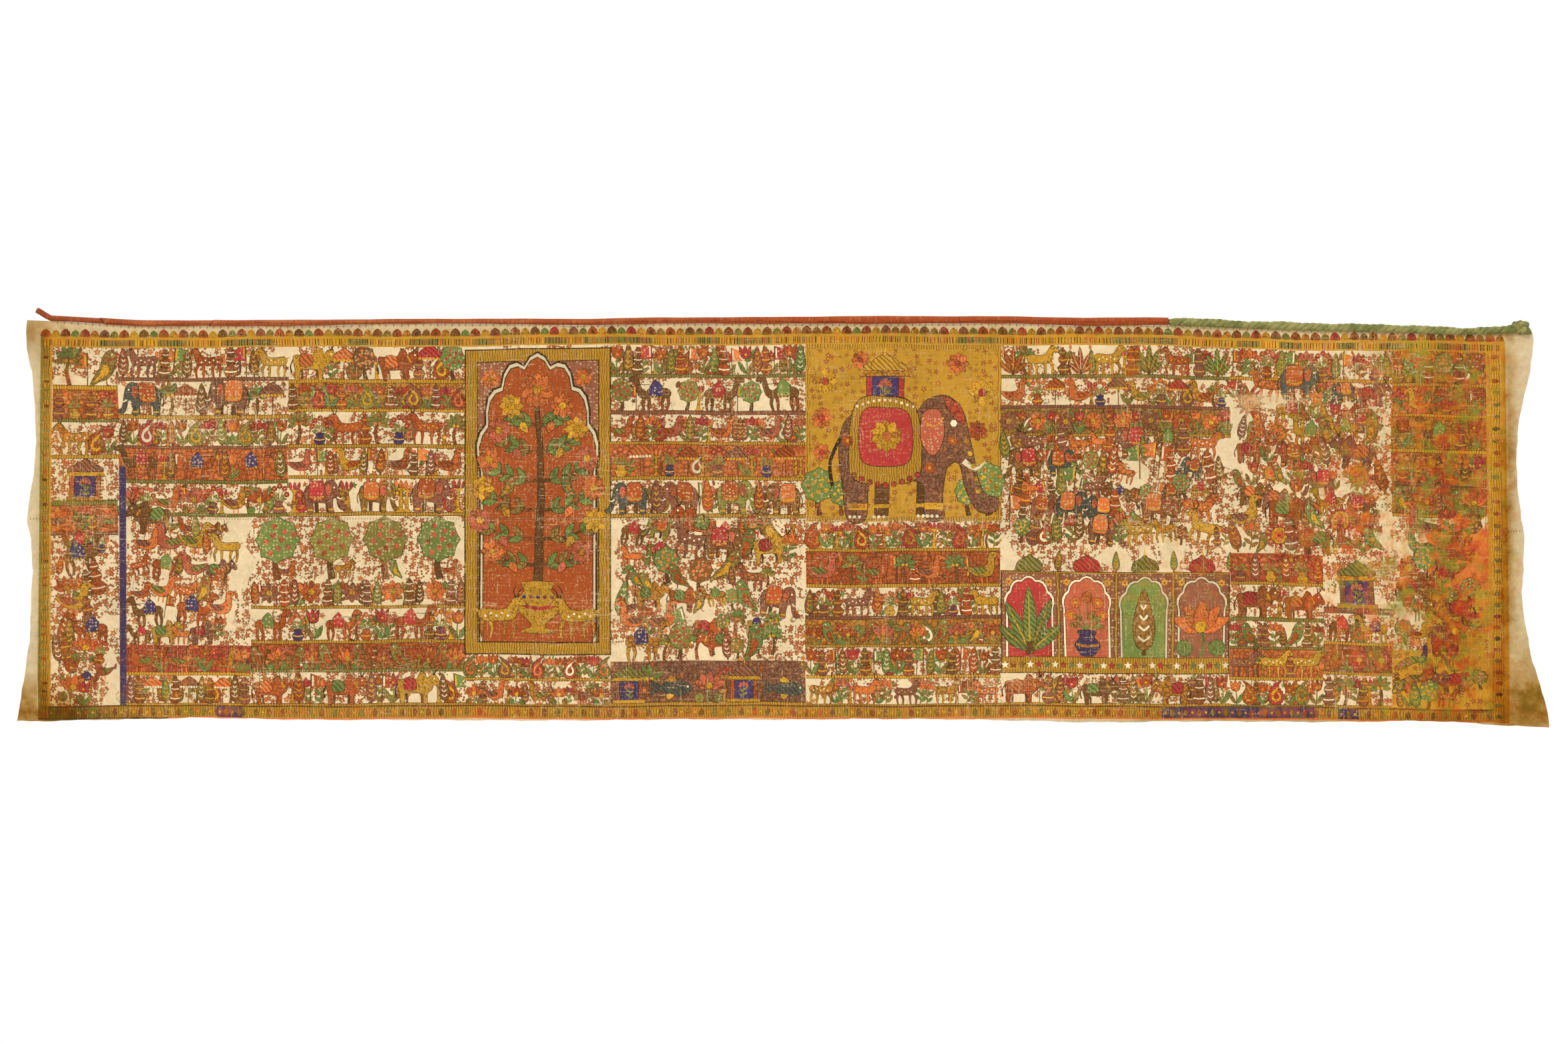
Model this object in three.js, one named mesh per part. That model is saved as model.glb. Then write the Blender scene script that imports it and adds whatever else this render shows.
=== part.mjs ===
import * as THREE from 'three';

// A painted cotton hanging: two loom widths of cloth joined by a level seam, with a cotton
// heading rolled and sewn along the top. Millimetres, +Z up, painted side towards -Y.
// The origin is on top of the heading, at the middle of the length, where it is hung.

const CLOTH_THICKNESS = 1.6;
const PIECE_GAP = 0.3;
const COLUMNS = 87;        // steps along the cloth
const ROWS = 6;            // steps down each loom width
const NOMINAL_LEFT = -2440;
const NOMINAL_RIGHT = 2400;
const DROP = 1300;         // from the origin down to the hem

// How far the top edge, the seam and the hem lie below the origin, along the hanging.
const LEVELS = [
  { x: -2450, top: 9, seam: 651, hem: 1302 },
  { x: -2330, top: 14, seam: 650, hem: 1303 },
  { x: -2210, top: 21, seam: 650, hem: 1300 },
  { x: -2080, top: 29.5, seam: 650, hem: 1299 },
  { x: -1840, top: 29, seam: 651, hem: 1293 },
  { x: -1560, top: 29, seam: 650, hem: 1299 },
  { x: -1260, top: 22.5, seam: 650, hem: 1300 },
  { x: -900, top: 22.5, seam: 650, hem: 1301 },
  { x: -660, top: 26.5, seam: 650, hem: 1301 },
  { x: -400, top: 21.5, seam: 650, hem: 1299 },
  { x: 0, top: 22, seam: 649, hem: 1299 },
  { x: 300, top: 22, seam: 650, hem: 1297 },
  { x: 700, top: 20.5, seam: 651, hem: 1302 },
  { x: 970, top: 28, seam: 652, hem: 1307 },
  { x: 1240, top: 26.5, seam: 655, hem: 1305 },
  { x: 1550, top: 38, seam: 660, hem: 1306 },
  { x: 1770, top: 45, seam: 666, hem: 1306 },
  { x: 2000, top: 50, seam: 673, hem: 1303 },
  { x: 2160, top: 55.5, seam: 681, hem: 1311 },
  { x: 2260, top: 53.5, seam: 686, hem: 1318 },
  { x: 2470, top: 47, seam: 692, hem: 1326 },
];

// The two side edges draw in below the heading, stand out a little at the seam, and flare
// to the bottom corners.
const SIDES = [
  { down: 0, left: -2443, right: 2410 },
  { down: 86, left: -2446, right: 2418 },
  { down: 190, left: -2426, right: 2404 },
  { down: 320, left: -2416, right: 2374 },
  { down: 430, left: -2414, right: 2364 },
  { down: 530, left: -2424, right: 2365 },
  { down: 650, left: -2441, right: 2378 },
  { down: 700, left: -2431, right: 2386 },
  { down: 810, left: -2423, right: 2384 },
  { down: 920, left: -2428, right: 2380 },
  { down: 1015, left: -2430, right: 2395 },
  { down: 1100, left: -2440, right: 2410 },
  { down: 1200, left: -2455, right: 2441 },
  { down: 1300, left: -2472, right: 2466 },
];

// Soft upright swells of the hanging cloth: where each stands, half its width, how far it
// leans sideways on its way down, and how far it stands out (+) or in at the top and hem.
const SWELLS = [
  { x: -2440, half: 330, lean: -60, top: 0, hem: 22 },
  { x: -2080, half: 300, lean: 40, top: -2, hem: -13 },
  { x: -1640, half: 380, lean: -70, top: 3, hem: 14 },
  { x: -1230, half: 260, lean: 30, top: -1, hem: -10 },
  { x: -820, half: 420, lean: 90, top: 2, hem: 12 },
  { x: -290, half: 330, lean: -40, top: -2, hem: -12 },
  { x: 130, half: 280, lean: -30, top: 1, hem: 9 },
  { x: 560, half: 400, lean: 60, top: -3, hem: -13 },
  { x: 1040, half: 300, lean: -50, top: 2, hem: 13 },
  { x: 1430, half: 260, lean: 20, top: -2, hem: -9 },
  { x: 1860, half: 360, lean: 70, top: 3, hem: 15 },
  { x: 2150, half: 240, lean: 60, top: -2, hem: -12 },
  { x: 2450, half: 260, lean: 40, top: 1, hem: 26 },
];
const BELLY = 7;           // how far the middle of the drop stands forward of a straight hang

// Half the thickness of the plain heading roll along its length.
const ROLL_RADII = [
  { x: -2420, radius: 9.3 },
  { x: -2280, radius: 9 },
  { x: -2100, radius: 10.3 },
  { x: -1840, radius: 9.6 },
  { x: -1560, radius: 10.3 },
  { x: -1300, radius: 8.5 },
  { x: -900, radius: 8.9 },
  { x: -700, radius: 10.6 },
  { x: -300, radius: 10.5 },
  { x: 0, radius: 11.7 },
  { x: 300, radius: 13.2 },
  { x: 600, radius: 11.9 },
  { x: 800, radius: 12.3 },
  { x: 1020, radius: 13.4 },
  { x: 1240, radius: 12.8 },
];
const ROLL_SIDES = 10;
const ROLL_START = 0.0159; // share of the top edge at which the roll meets the cloth
const JOIN_COLUMN = 66;    // the plain roll ends here and the twisted one begins
const FREE_END = [         // from the cloth's corner out to the tip: along, and up
  { along: 16, up: 8 },
  { along: 32, up: 18 },
  { along: 46, up: 26 },
];

// The twisted part of the heading: three strands, and a knot at the corner.
const ROPE_RADIUS = 13.4;
const ROPE_VALLEY = 11.8;
const STRANDS = 3;
const ROPE_SIDES = 9;
const STEPS_PER_COLUMN = 6;
const KNOT = [             // radius on the way in to the end of the knot
  { before: 70, radius: 13.4 },
  { before: 56, radius: 15 },
  { before: 44, radius: 18.5 },
  { before: 28, radius: 20 },
  { before: 14, radius: 17 },
  { before: 0, radius: 9 },
];

// One column of a table at a place between its rows, on a smooth curve through them.
function along(table, key, place, column) {
  const last = table.length - 1;
  const slope = (row) => {
    const before = table[Math.max(row - 1, 0)];
    const after = table[Math.min(row + 1, last)];
    return (after[column] - before[column]) / (after[key] - before[key]);
  };
  let row = 0;
  while (row < last - 1 && place > table[row + 1][key]) row += 1;
  const a = table[row];
  const b = table[row + 1];
  const span = b[key] - a[key];
  const t = THREE.MathUtils.clamp((place - a[key]) / span, 0, 1);
  const ease = t * t * (3 - 2 * t);
  const leave = t * (1 - t) * (1 - t) * span * slope(row);
  const arrive = t * t * (t - 1) * span * slope(row + 1);
  return a[column] + (b[column] - a[column]) * ease + leave + arrive;
}

// How far the hanging cloth stands in or out at a place, towards +Y behind it.
function depthAt(x, down) {
  const fall = down / DROP;
  let out = BELLY * Math.sin(Math.PI * Math.min(fall, 1));
  for (const swell of SWELLS) {
    const offset = (x - swell.x - swell.lean * fall) / swell.half;
    if (Math.abs(offset) < 1) {
      const height = THREE.MathUtils.lerp(swell.top, swell.hem, fall ** 1.4);
      out += height * Math.cos((Math.PI / 2) * offset) ** 2;
    }
  }
  return -out;
}

// A point in the middle of the cloth: u runs along it, and down is its depth below the origin.
function clothPoint(u, down) {
  const left = along(SIDES, 'down', down, 'left');
  const right = along(SIDES, 'down', down, 'right');
  const x = THREE.MathUtils.lerp(left, right, u);
  return new THREE.Vector3(x, depthAt(x, down), -down);
}

function levelAt(u, edge) {
  return along(LEVELS, 'x', THREE.MathUtils.lerp(NOMINAL_LEFT, NOMINAL_RIGHT, u), edge);
}

// A closed body through a row of rings with the same number of points. Both ends are shut
// by a strip that joins each point to the one across the ring.
function loft(rings) {
  const size = rings[0].length;
  const vertices = rings.flat().flatMap((point) => point.toArray());
  const faces = [];
  for (let ring = 0; ring < rings.length - 1; ring += 1) {
    for (let i = 0; i < size; i += 1) {
      const a = ring * size + i;
      const b = ring * size + ((i + 1) % size);
      faces.push(a, b + size, a + size, a, b, b + size);
    }
  }
  const end = (rings.length - 1) * size;
  for (let low = 0, high = size - 1; high - low > 1; ) {
    const turn = high - low > 2 ? [low, high, low + 1, low + 1, high, high - 1]
      : [low, high, low + 1];
    faces.push(...turn);
    faces.push(...turn.map((index) => end + index).reverse());
    low += 1;
    high -= 1;
  }
  const geometry = new THREE.BufferGeometry();
  geometry.setAttribute('position', new THREE.Float32BufferAttribute(vertices, 3));
  geometry.setIndex(faces);
  geometry.computeVertexNormals();
  return geometry;
}

// One loom width between two of the levels, its front and back half a thickness apart.
function loomWidth(upper, lower, upperInset, lowerInset) {
  const rings = [];
  for (let column = 0; column <= COLUMNS; column += 1) {
    const u = column / COLUMNS;
    const from = levelAt(u, upper) + upperInset;
    const to = levelAt(u, lower) - lowerInset;
    const front = [];
    const back = [];
    for (let row = 0; row <= ROWS; row += 1) {
      const middle = clothPoint(u, THREE.MathUtils.lerp(from, to, row / ROWS));
      const half = new THREE.Vector3(0, CLOTH_THICKNESS / 2, 0);
      front.push(middle.clone().sub(half));
      back.unshift(middle.clone().add(half));
    }
    rings.push([...front, ...back]);
  }
  return loft(rings);
}

// A point of the cloth's top edge, on the straight steps that the cloth is built in.
function topEdge(u) {
  const column = Math.min(Math.floor(u * COLUMNS + 1e-9), COLUMNS - 1);
  const ends = [column, column + 1].map((step) => {
    const at = step / COLUMNS;
    return clothPoint(at, levelAt(at, 'top'));
  });
  return ends[0].lerp(ends[1], u * COLUMNS - column);
}

// A ring of points square to a path in the X-Z plane. The first point is this share of a
// side on from the lowest place: half a side leaves a flat below, and 0 a corner.
function ringAt(centre, direction, radiusOf, sides, turn) {
  const up = new THREE.Vector3(-direction.z, 0, direction.x);
  const across = new THREE.Vector3(0, 1, 0);
  const ring = [];
  for (let i = 0; i < sides; i += 1) {
    const angle = (2 * Math.PI * (i + turn)) / sides;
    const radius = radiusOf(i);
    const point = centre.clone().addScaledVector(up, -radius * Math.cos(angle));
    ring.push(point.addScaledVector(across, radius * Math.sin(angle)));
  }
  return ring;
}

function tubeThrough(centres, radiusOf, sides, turn) {
  const rings = centres.map((centre, step) => {
    const before = centres[Math.max(step - 1, 0)];
    const after = centres[Math.min(step + 1, centres.length - 1)];
    const direction = after.clone().sub(before).setY(0).normalize();
    return ringAt(centre, direction, (i) => radiusOf(centre, step, i), sides, turn);
  });
  return loft(rings);
}

function seatOn(edge, reach) {
  return edge.clone().add(new THREE.Vector3(0, 0, PIECE_GAP + reach));
}

// The plain heading roll, from its free tip at the left corner to the join.
function plainRoll() {
  const radiusAt = (x) => along(ROLL_RADII, 'x', x, 'radius');
  const toFlat = Math.cos(Math.PI / ROLL_SIDES);
  const stations = [ROLL_START];
  for (let column = 2; column <= JOIN_COLUMN; column += 1) {
    stations.push(column / COLUMNS);
  }
  const seated = stations.map((u) => {
    const edge = topEdge(u);
    return seatOn(edge, radiusAt(edge.x) * toFlat);
  });
  const corner = seated[0];
  const free = FREE_END.map(({ along: out, up }) => (
    corner.clone().add(new THREE.Vector3(-out, 0, up))
  )).reverse();
  return tubeThrough([...free, ...seated], (centre) => radiusAt(centre.x), ROLL_SIDES, 0.5);
}

// The twisted heading, from the join to the knot at the right corner. Each step turns the
// three strands by one side of the ring, so their ridges run round it as a rope's do.
function twistedRoll() {
  const steps = (COLUMNS - JOIN_COLUMN) * STEPS_PER_COLUMN;
  const edges = [];
  for (let step = 0; step <= steps; step += 1) {
    edges.push(topEdge((JOIN_COLUMN + step / STEPS_PER_COLUMN) / COLUMNS));
  }
  edges[0].x += 2 * PIECE_GAP;
  const end = edges[steps].x;
  const knot = KNOT.map(({ before, radius }) => ({ at: end - before, radius }));
  const radiusAt = (x) => (x < knot[0].at ? ROPE_RADIUS : along(knot, 'at', x, 'radius'));
  const centres = edges.map((edge) => seatOn(edge, radiusAt(edge.x)));
  const radiusOf = (centre, step, i) => {
    const ridge = (i + step) % (ROPE_SIDES / STRANDS) === 0;
    return radiusAt(centre.x) * (ridge ? 1 : ROPE_VALLEY / ROPE_RADIUS);
  };
  return tubeThrough(centres, radiusOf, ROPE_SIDES, 0);
}

function addPiece(name, geometry, color, roughness) {
  const material = new THREE.MeshStandardMaterial({ color, roughness, metalness: 0 });
  const mesh = new THREE.Mesh(geometry, material);
  mesh.name = name;
  hanging.add(mesh);
}

const hanging = new THREE.Group();
addPiece('cloth_upper', loomWidth('top', 'seam', 0, PIECE_GAP / 2), '#c9a878', 0.9);
addPiece('cloth_lower', loomWidth('seam', 'hem', PIECE_GAP / 2, 0), '#bf9a66', 0.9);
addPiece('heading_roll', plainRoll(), '#b0451f', 0.85);
addPiece('heading_twist', twistedRoll(), '#6c7a48', 0.85);

export default hanging;
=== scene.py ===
import math
import random

import bpy
import numpy as np
from mathutils.geometry import delaunay_2d_cdt
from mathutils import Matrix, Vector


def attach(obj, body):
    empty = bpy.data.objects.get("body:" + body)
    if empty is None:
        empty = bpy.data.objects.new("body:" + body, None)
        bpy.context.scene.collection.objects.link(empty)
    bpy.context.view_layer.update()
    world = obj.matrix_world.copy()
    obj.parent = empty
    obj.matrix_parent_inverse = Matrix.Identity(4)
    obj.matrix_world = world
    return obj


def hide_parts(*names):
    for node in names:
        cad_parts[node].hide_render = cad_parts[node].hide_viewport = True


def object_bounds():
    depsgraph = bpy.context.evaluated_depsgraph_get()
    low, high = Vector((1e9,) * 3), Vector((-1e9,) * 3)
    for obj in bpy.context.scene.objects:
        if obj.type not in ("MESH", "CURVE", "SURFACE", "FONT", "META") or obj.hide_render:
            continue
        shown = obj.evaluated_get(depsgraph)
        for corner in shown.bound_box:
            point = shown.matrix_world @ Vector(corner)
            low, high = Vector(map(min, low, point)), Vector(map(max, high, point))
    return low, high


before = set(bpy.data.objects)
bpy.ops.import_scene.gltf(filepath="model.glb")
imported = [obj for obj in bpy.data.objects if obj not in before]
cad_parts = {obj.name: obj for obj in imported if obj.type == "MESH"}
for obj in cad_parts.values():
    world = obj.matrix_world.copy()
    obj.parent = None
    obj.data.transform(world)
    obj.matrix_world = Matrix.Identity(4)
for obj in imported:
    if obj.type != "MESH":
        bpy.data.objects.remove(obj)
packed_box = [list(corner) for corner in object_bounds()]

# ==== Camera and studio ===================================================================
# A long lens square on to the hanging, so that its edges stay parallel, in soft daylight
# from the upper left, with a pale floor well below it.
low, high = (np.array(corner) for corner in packed_box)
middle = (low + high) / 2
CAMERA_BACK = 12.0
FRAME_WIDTH = 5.063        # what the picture takes in across the hanging, metres
AIM = (0.003, -0.0145)     # its middle is this far right of the hanging's, and above it
SENSOR = 36.0

camera_data = bpy.data.cameras.new("camera")
camera_data.sensor_width = SENSOR
camera_data.lens = SENSOR * CAMERA_BACK / FRAME_WIDTH
camera_data.clip_end = 100
camera = bpy.data.objects.new("camera", camera_data)
camera.location = (middle[0] + AIM[0], -CAMERA_BACK, middle[2] + AIM[1])
camera.rotation_euler = (math.radians(90), 0, 0)
bpy.context.collection.objects.link(camera)
bpy.context.scene.camera = camera
bpy.context.scene.view_settings.view_transform = "Standard"


def srgb(code):
    """The three values, from 0 to 1, of a colour written as six hex figures."""
    return [int(code[i:i + 2], 16) / 255 for i in (1, 3, 5)]


def to_linear(values):
    return np.where(values <= 0.04045, values / 12.92, ((values + 0.055) / 1.055) ** 2.4)


def linear(code):
    """A colour written as six hex figures, in linear light."""
    return tuple(to_linear(np.array(srgb(code))).tolist())


def add_node(tree, kind, inputs=None, **settings):
    """A new node with its settings; an input takes a value, or another node's output."""
    made = tree.nodes.new("ShaderNode" + kind)
    for name, value in settings.items():
        setattr(made, name, value)
    for name, value in (inputs or {}).items():
        if isinstance(value, bpy.types.NodeSocket):
            tree.links.new(value, made.inputs[name])
        else:
            made.inputs[name].default_value = value
    return made


def studio_world():
    """Soft light from all round, behind which the camera sees plain white."""
    world = bpy.data.worlds.new("studio")
    bpy.context.scene.world = world
    world.use_nodes = True
    tree = world.node_tree
    tree.nodes.clear()
    path = add_node(tree, "LightPath")
    seen = add_node(tree, "Math", {0: path.outputs["Is Camera Ray"],
                                   1: path.outputs["Is Glossy Ray"]}, operation="MAXIMUM")
    seen = add_node(tree, "Math", {0: seen.outputs[0],
                                   1: path.outputs["Is Transmission Ray"]}, operation="MAXIMUM")
    around = add_node(tree, "Background", {"Color": (1.0, 0.985, 0.96, 1), "Strength": 0.62})
    white = add_node(tree, "Background", {"Color": (1, 1, 1, 1), "Strength": 1.0})
    mixed = add_node(tree, "MixShader", {0: seen.outputs[0], 1: around.outputs[0], 2: white.outputs[0]})
    add_node(tree, "OutputWorld", {"Surface": mixed.outputs[0]})


def sun_lamp(name, strength, softness, turn):
    data = bpy.data.lights.new(name, "SUN")
    data.energy = strength
    data.angle = math.radians(softness)
    lamp = bpy.data.objects.new(name, data)
    lamp.rotation_euler = [math.radians(angle) for angle in turn]
    bpy.context.collection.objects.link(lamp)


studio_world()
sun_lamp("window", 1.55, 10, (48, 0, -42))
sun_lamp("fill", 0.35, 30, (70, 0, 35))
sun_lamp("behind", 1.1, 20, (50, 0, 160))

FLOOR_DROP = 1.28          # the floor lies this far below the hem, metres
bpy.ops.object.select_all(action="DESELECT")
bpy.ops.mesh.primitive_plane_add(size=1, location=(middle[0], -0.9, low[2] - FLOOR_DROP))
floor = bpy.context.active_object
floor.name = "floor"
floor.scale = (9.0, 5.0, 1)
# Matt emulsion paint: pale, with no shine of its own.
emulsion = bpy.data.materials.new("matt_emulsion")
emulsion.use_nodes = True
emulsion.node_tree.nodes["Principled BSDF"].inputs["Base Color"].default_value = (*linear("#E9E7E2"), 1)
emulsion.node_tree.nodes["Principled BSDF"].inputs["Roughness"].default_value = 0.9
floor.data.materials.append(emulsion)

# ==== Cloth: two loom widths of painted cotton =============================================
# Hand-woven cotton, sized, painted in registers of beasts, plants and buildings with earth
# and dye colours, and joined by a level seam. The whole hangs from its rolled heading in
# soft upright swells. Everything here is in millimetres until the mesh is made.
CLOTH_THICKNESS = 1.6
PIECE_GAP = 0.3
NOMINAL_LEFT, NOMINAL_RIGHT = -2440, 2400
LENGTH = NOMINAL_RIGHT - NOMINAL_LEFT
DROP = 1300
BELLY = 7
LEVELS = np.array([        # x, and how far the top edge, the seam and the hem lie down there
    (-2450, 9, 651, 1302), (-2330, 14, 650, 1303), (-2210, 21, 650, 1300),
    (-2080, 29.5, 650, 1299), (-1840, 29, 651, 1293), (-1560, 29, 650, 1299),
    (-1260, 22.5, 650, 1300), (-900, 22.5, 650, 1301), (-660, 26.5, 650, 1301),
    (-400, 21.5, 650, 1299), (0, 22, 649, 1299), (300, 22, 650, 1297), (700, 20.5, 651, 1302),
    (970, 28, 652, 1307), (1240, 26.5, 655, 1305), (1550, 38, 660, 1306), (1770, 45, 666, 1306),
    (2000, 50, 673, 1303), (2160, 55.5, 681, 1311), (2260, 53.5, 686, 1318),
    (2470, 47, 692, 1326),
], float)
SIDES = np.array([         # how far down, and where the left and right edges are there
    (0, -2443, 2410), (86, -2446, 2418), (190, -2426, 2404), (320, -2416, 2374),
    (430, -2414, 2364), (530, -2424, 2365), (650, -2441, 2378), (700, -2431, 2386),
    (810, -2423, 2384), (920, -2428, 2380), (1015, -2430, 2395), (1100, -2440, 2410),
    (1200, -2455, 2441), (1300, -2472, 2466),
], float)
SWELLS = [                 # x, half width, lean, and how far out at the top and at the hem
    (-2440, 330, -60, 0, 22), (-2080, 300, 40, -2, -13), (-1640, 380, -70, 3, 14),
    (-1230, 260, 30, -1, -10), (-820, 420, 90, 2, 12), (-290, 330, -40, -2, -12),
    (130, 280, -30, 1, 9), (560, 400, 60, -3, -13), (1040, 300, -50, 2, 13),
    (1430, 260, 20, -2, -9), (1860, 360, 70, 3, 15), (2150, 240, 60, -2, -12),
    (2450, 260, 40, 1, 26),
]
TOP, SEAM, HEM = 1, 2, 3
LEFT, RIGHT = 1, 2


def along(table, place, column):
    """One column of a table between its rows, on a smooth curve through them."""
    key, value = table[:, 0], table[:, column]
    slope = np.gradient(value)
    ends = np.gradient(key)
    slope = slope / ends
    place = np.asarray(place, float)
    row = np.clip(np.searchsorted(key, place) - 1, 0, len(key) - 2)
    span = key[row + 1] - key[row]
    t = np.clip((place - key[row]) / span, 0, 1)
    ease = t * t * (3 - 2 * t)
    return (value[row] + (value[row + 1] - value[row]) * ease
            + t * (1 - t) ** 2 * span * slope[row] + t * t * (t - 1) * span * slope[row + 1])


def depth_at(x, down):
    """How far the hanging cloth stands back from a straight hang, towards +Y."""
    fall = np.clip(down / DROP, 0, None)
    out = BELLY * np.sin(np.pi * np.minimum(fall, 1))
    for at, half, lean, top, hem in SWELLS:
        offset = np.clip((x - at - lean * fall) / half, -1, 1)
        out = out + (top + (hem - top) * fall ** 1.4) * np.cos(np.pi / 2 * offset) ** 2
    return -out


def cloth_place(share, down):
    """Where a place on the cloth is: a share of the way along, and how far down."""
    left, right = along(SIDES, down, LEFT), along(SIDES, down, RIGHT)
    return np.stack([left + (right - left) * share, -np.asarray(down, float)], -1)


def level_at(share, edge):
    return along(LEVELS, NOMINAL_LEFT + LENGTH * share, edge)


# ---- the painter's colours -------------------------------------------------------------
PAINTS = {
    "ground": "#E3CBA1",    # sized cotton, aged
    "chalk": "#E2D0A8",
    "brick": "#A54920",
    "mauve": "#864F3A",
    "brown": "#764924",
    "crimson": "#AA2F31",
    "orange": "#D06A33",
    "ochre": "#BB8828",
    "yellow": "#CC9424",
    "olive": "#7C7434",
    "green": "#66793A",
    "indigo": "#352D58",
    "slate": "#474D45",
    "black": "#2A1E12",
    "rose": "#BB5A40",
    "umber": "#5A381E",
}
hand = random.Random(41)
painted = []
SMALLEST_LINED = 15        # smaller shapes are dabbed on without a dark outline
# Brushwork inside a shape: 1 slanting lines, 2 pale dots, 3 close lines, 4 upright strokes,
# 5 specks, 6 wavering lines, 7 patched cells, 8 small flowers and leaves crowded
# over bare ground, 9 small flowers spaced apart.
UNWORKED = ("ground", "chalk", "black")


def toned(colour, spread=0.10):
    """A paint as mixed for one shape: its sRGB colour, a little lighter or darker."""
    level = 1.04 + hand.uniform(-spread, spread)
    return tuple(min(value * level, 1) for value in srgb(PAINTS[colour]))


def rounded(points, steps):
    """A smooth closed outline through a few points."""
    count = len(points)
    outline = []
    for i in range(count):
        corners = [points[(i + k) % count] for k in (-1, 0, 1, 2)]
        for step in range(steps):
            outline.append(between(corners, step / steps))
    return outline


def between(corners, t):
    """The point at t on a smooth curve from the second to the third of four points."""
    return tuple(
        0.5 * (2 * b + (c - a) * t + (2 * a - 5 * b + 4 * c - d) * t ** 2
               + (3 * b - a - 3 * c + d) * t ** 3)
        for a, b, c, d in zip(*corners)
    )


def drawn_through(points, steps):
    """A smooth open line through a few points."""
    ends = [points[0], *points, points[-1]]
    line = [between(ends[i:i + 4], step / steps)
            for i in range(len(points) - 1) for step in range(steps)]
    return [*line, points[-1]]


def sides_of(line, widths):
    """The closed outline of a brush stroke along a line, its width changing end to end."""
    left, right = [], []
    last = len(line) - 1
    for i, (x, z) in enumerate(line):
        before, after = line[max(i - 1, 0)], line[min(i + 1, last)]
        run = math.hypot(after[0] - before[0], after[1] - before[1]) or 1
        half = (widths[0] + (widths[1] - widths[0]) * i / last) / 2
        across = ((before[1] - after[1]) / run * half, (after[0] - before[0]) / run * half)
        left.append((x + across[0], z + across[1]))
        right.append((x - across[0], z - across[1]))
    return left + right[::-1]


def swollen(outline, by):
    """The outline moved outwards by a few millimetres."""
    count = len(outline)
    area = sum(outline[i - 1][0] * outline[i][1] - outline[i][0] * outline[i - 1][1]
               for i in range(count))
    by = math.copysign(by, area)
    grown = []
    for i in range(count):
        before, after = outline[i - 1], outline[(i + 1) % count]
        run = math.hypot(after[0] - before[0], after[1] - before[1]) or 1
        x, z = outline[i]
        grown.append((x + by * (after[1] - before[1]) / run, z - by * (after[0] - before[0]) / run))
    return grown


class Pen:
    """Paints one motif: u runs to its right and v up from its foot, in its own heights."""

    def __init__(self, x, z, size, flip=1, tilt=0.0):
        self.x, self.z, self.size, self.flip = x, z, size, flip
        self.cos, self.sin = math.cos(tilt), math.sin(tilt)

    def on_cloth(self, points):
        return [(self.x + self.flip * self.size * (u * self.cos - v * self.sin),
                 self.z + self.size * (u * self.sin + v * self.cos)) for u, v in points]

    def at(self, u, v, size, tilt=0.0):
        """A pen for a smaller thing that belongs to this one."""
        (x, z), = self.on_cloth([(u, v)])
        turn = math.atan2(self.sin, self.cos) + tilt
        return Pen(x, z, self.size * size, self.flip, turn)

    def flat(self, points, colour, hatch=0):
        painted.append((self.on_cloth(points), toned(colour), hatch))

    def lined(self, outline, colour, hatch, line):
        across = max(x for x, _ in outline) - min(x for x, _ in outline)
        tall = max(z for _, z in outline) - min(z for _, z in outline)
        if not hatch and min(across, tall) > 11 and colour not in UNWORKED:
            hatch = hand.choice((6, 6, 7))
        if line and max(across, tall) > SMALLEST_LINED:
            bolder = line * (0.85 + self.size / 700)
            painted.append((swollen(outline, bolder), toned("black"), 0))
        painted.append((outline, toned(colour), hatch))

    def shape(self, points, colour, hatch=0, line=1.7):
        steps = min(max(round(self.size / 75), 2), 6)
        self.lined(self.on_cloth(rounded(points, steps)), colour, hatch, line)

    def board(self, points, colour, hatch=0, line=1.7):
        self.lined(self.on_cloth(points), colour, hatch, line)

    def stroke(self, points, widths, colour, steps=3, line=0):
        outline = self.on_cloth(sides_of(drawn_through(points, steps), widths))
        self.lined(outline, colour, 0, line)

    def disc(self, u, v, radius, colour, sides=8, line=0, hatch=0):
        points = [(u + radius * math.cos(math.tau * i / sides),
                   v + radius * math.sin(math.tau * i / sides)) for i in range(sides)]
        self.lined(self.on_cloth(points), colour, hatch, line)


def mirrored(half):
    """Both sides of a thing from the points of its right side, foot to top."""
    return half + [(-u, v) for u, v in reversed(half) if u]


# ---- beasts ----------------------------------------------------------------------------
def elephant(pen, hide, cloth):
    for u in (-.2, .14):
        pen.board([(u, .4), (u + .13, .4), (u + .12, .02), (u, .02)], "umber", line=0)
    pen.shape([(-.5, .56), (-.42, .8), (-.14, .92), (.12, .85), (.24, .95), (.4, .98), (.53, .84),
               (.59, .6), (.63, .36), (.7, .2), (.8, .16), (.78, .06), (.64, .06), (.54, .24),
               (.48, .44), (.38, .4), (.35, .18), (.36, 0), (.22, 0), (.19, .26), (0, .31), (-.24, .3),
               (-.27, 0), (-.42, 0), (-.46, .28)], hide)
    pen.shape([(.2, .84), (.33, .86), (.37, .66), (.28, .5), (.18, .62)], "rose")
    pen.stroke([(.52, .46), (.62, .4), (.7, .46)], (.05, .01), "chalk")
    pen.disc(.45, .76, .03, "chalk", 6, 1)
    pen.shape([(-.32, .9), (-.1, .97), (.12, .9), (.12, .44), (-.1, .38), (-.34, .44)], cloth, hatch=2)
    pen.stroke([(-.33, .5), (-.1, .44), (.12, .5)], (.05, .05), "yellow")
    pen.stroke([(-.49, .64), (-.57, .46), (-.54, .26)], (.03, .03), "black")
    for u in (-.41, .21):
        pen.flat([(u, .07), (u + .15, .07), (u + .15, .12), (u, .12)], "yellow")


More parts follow.
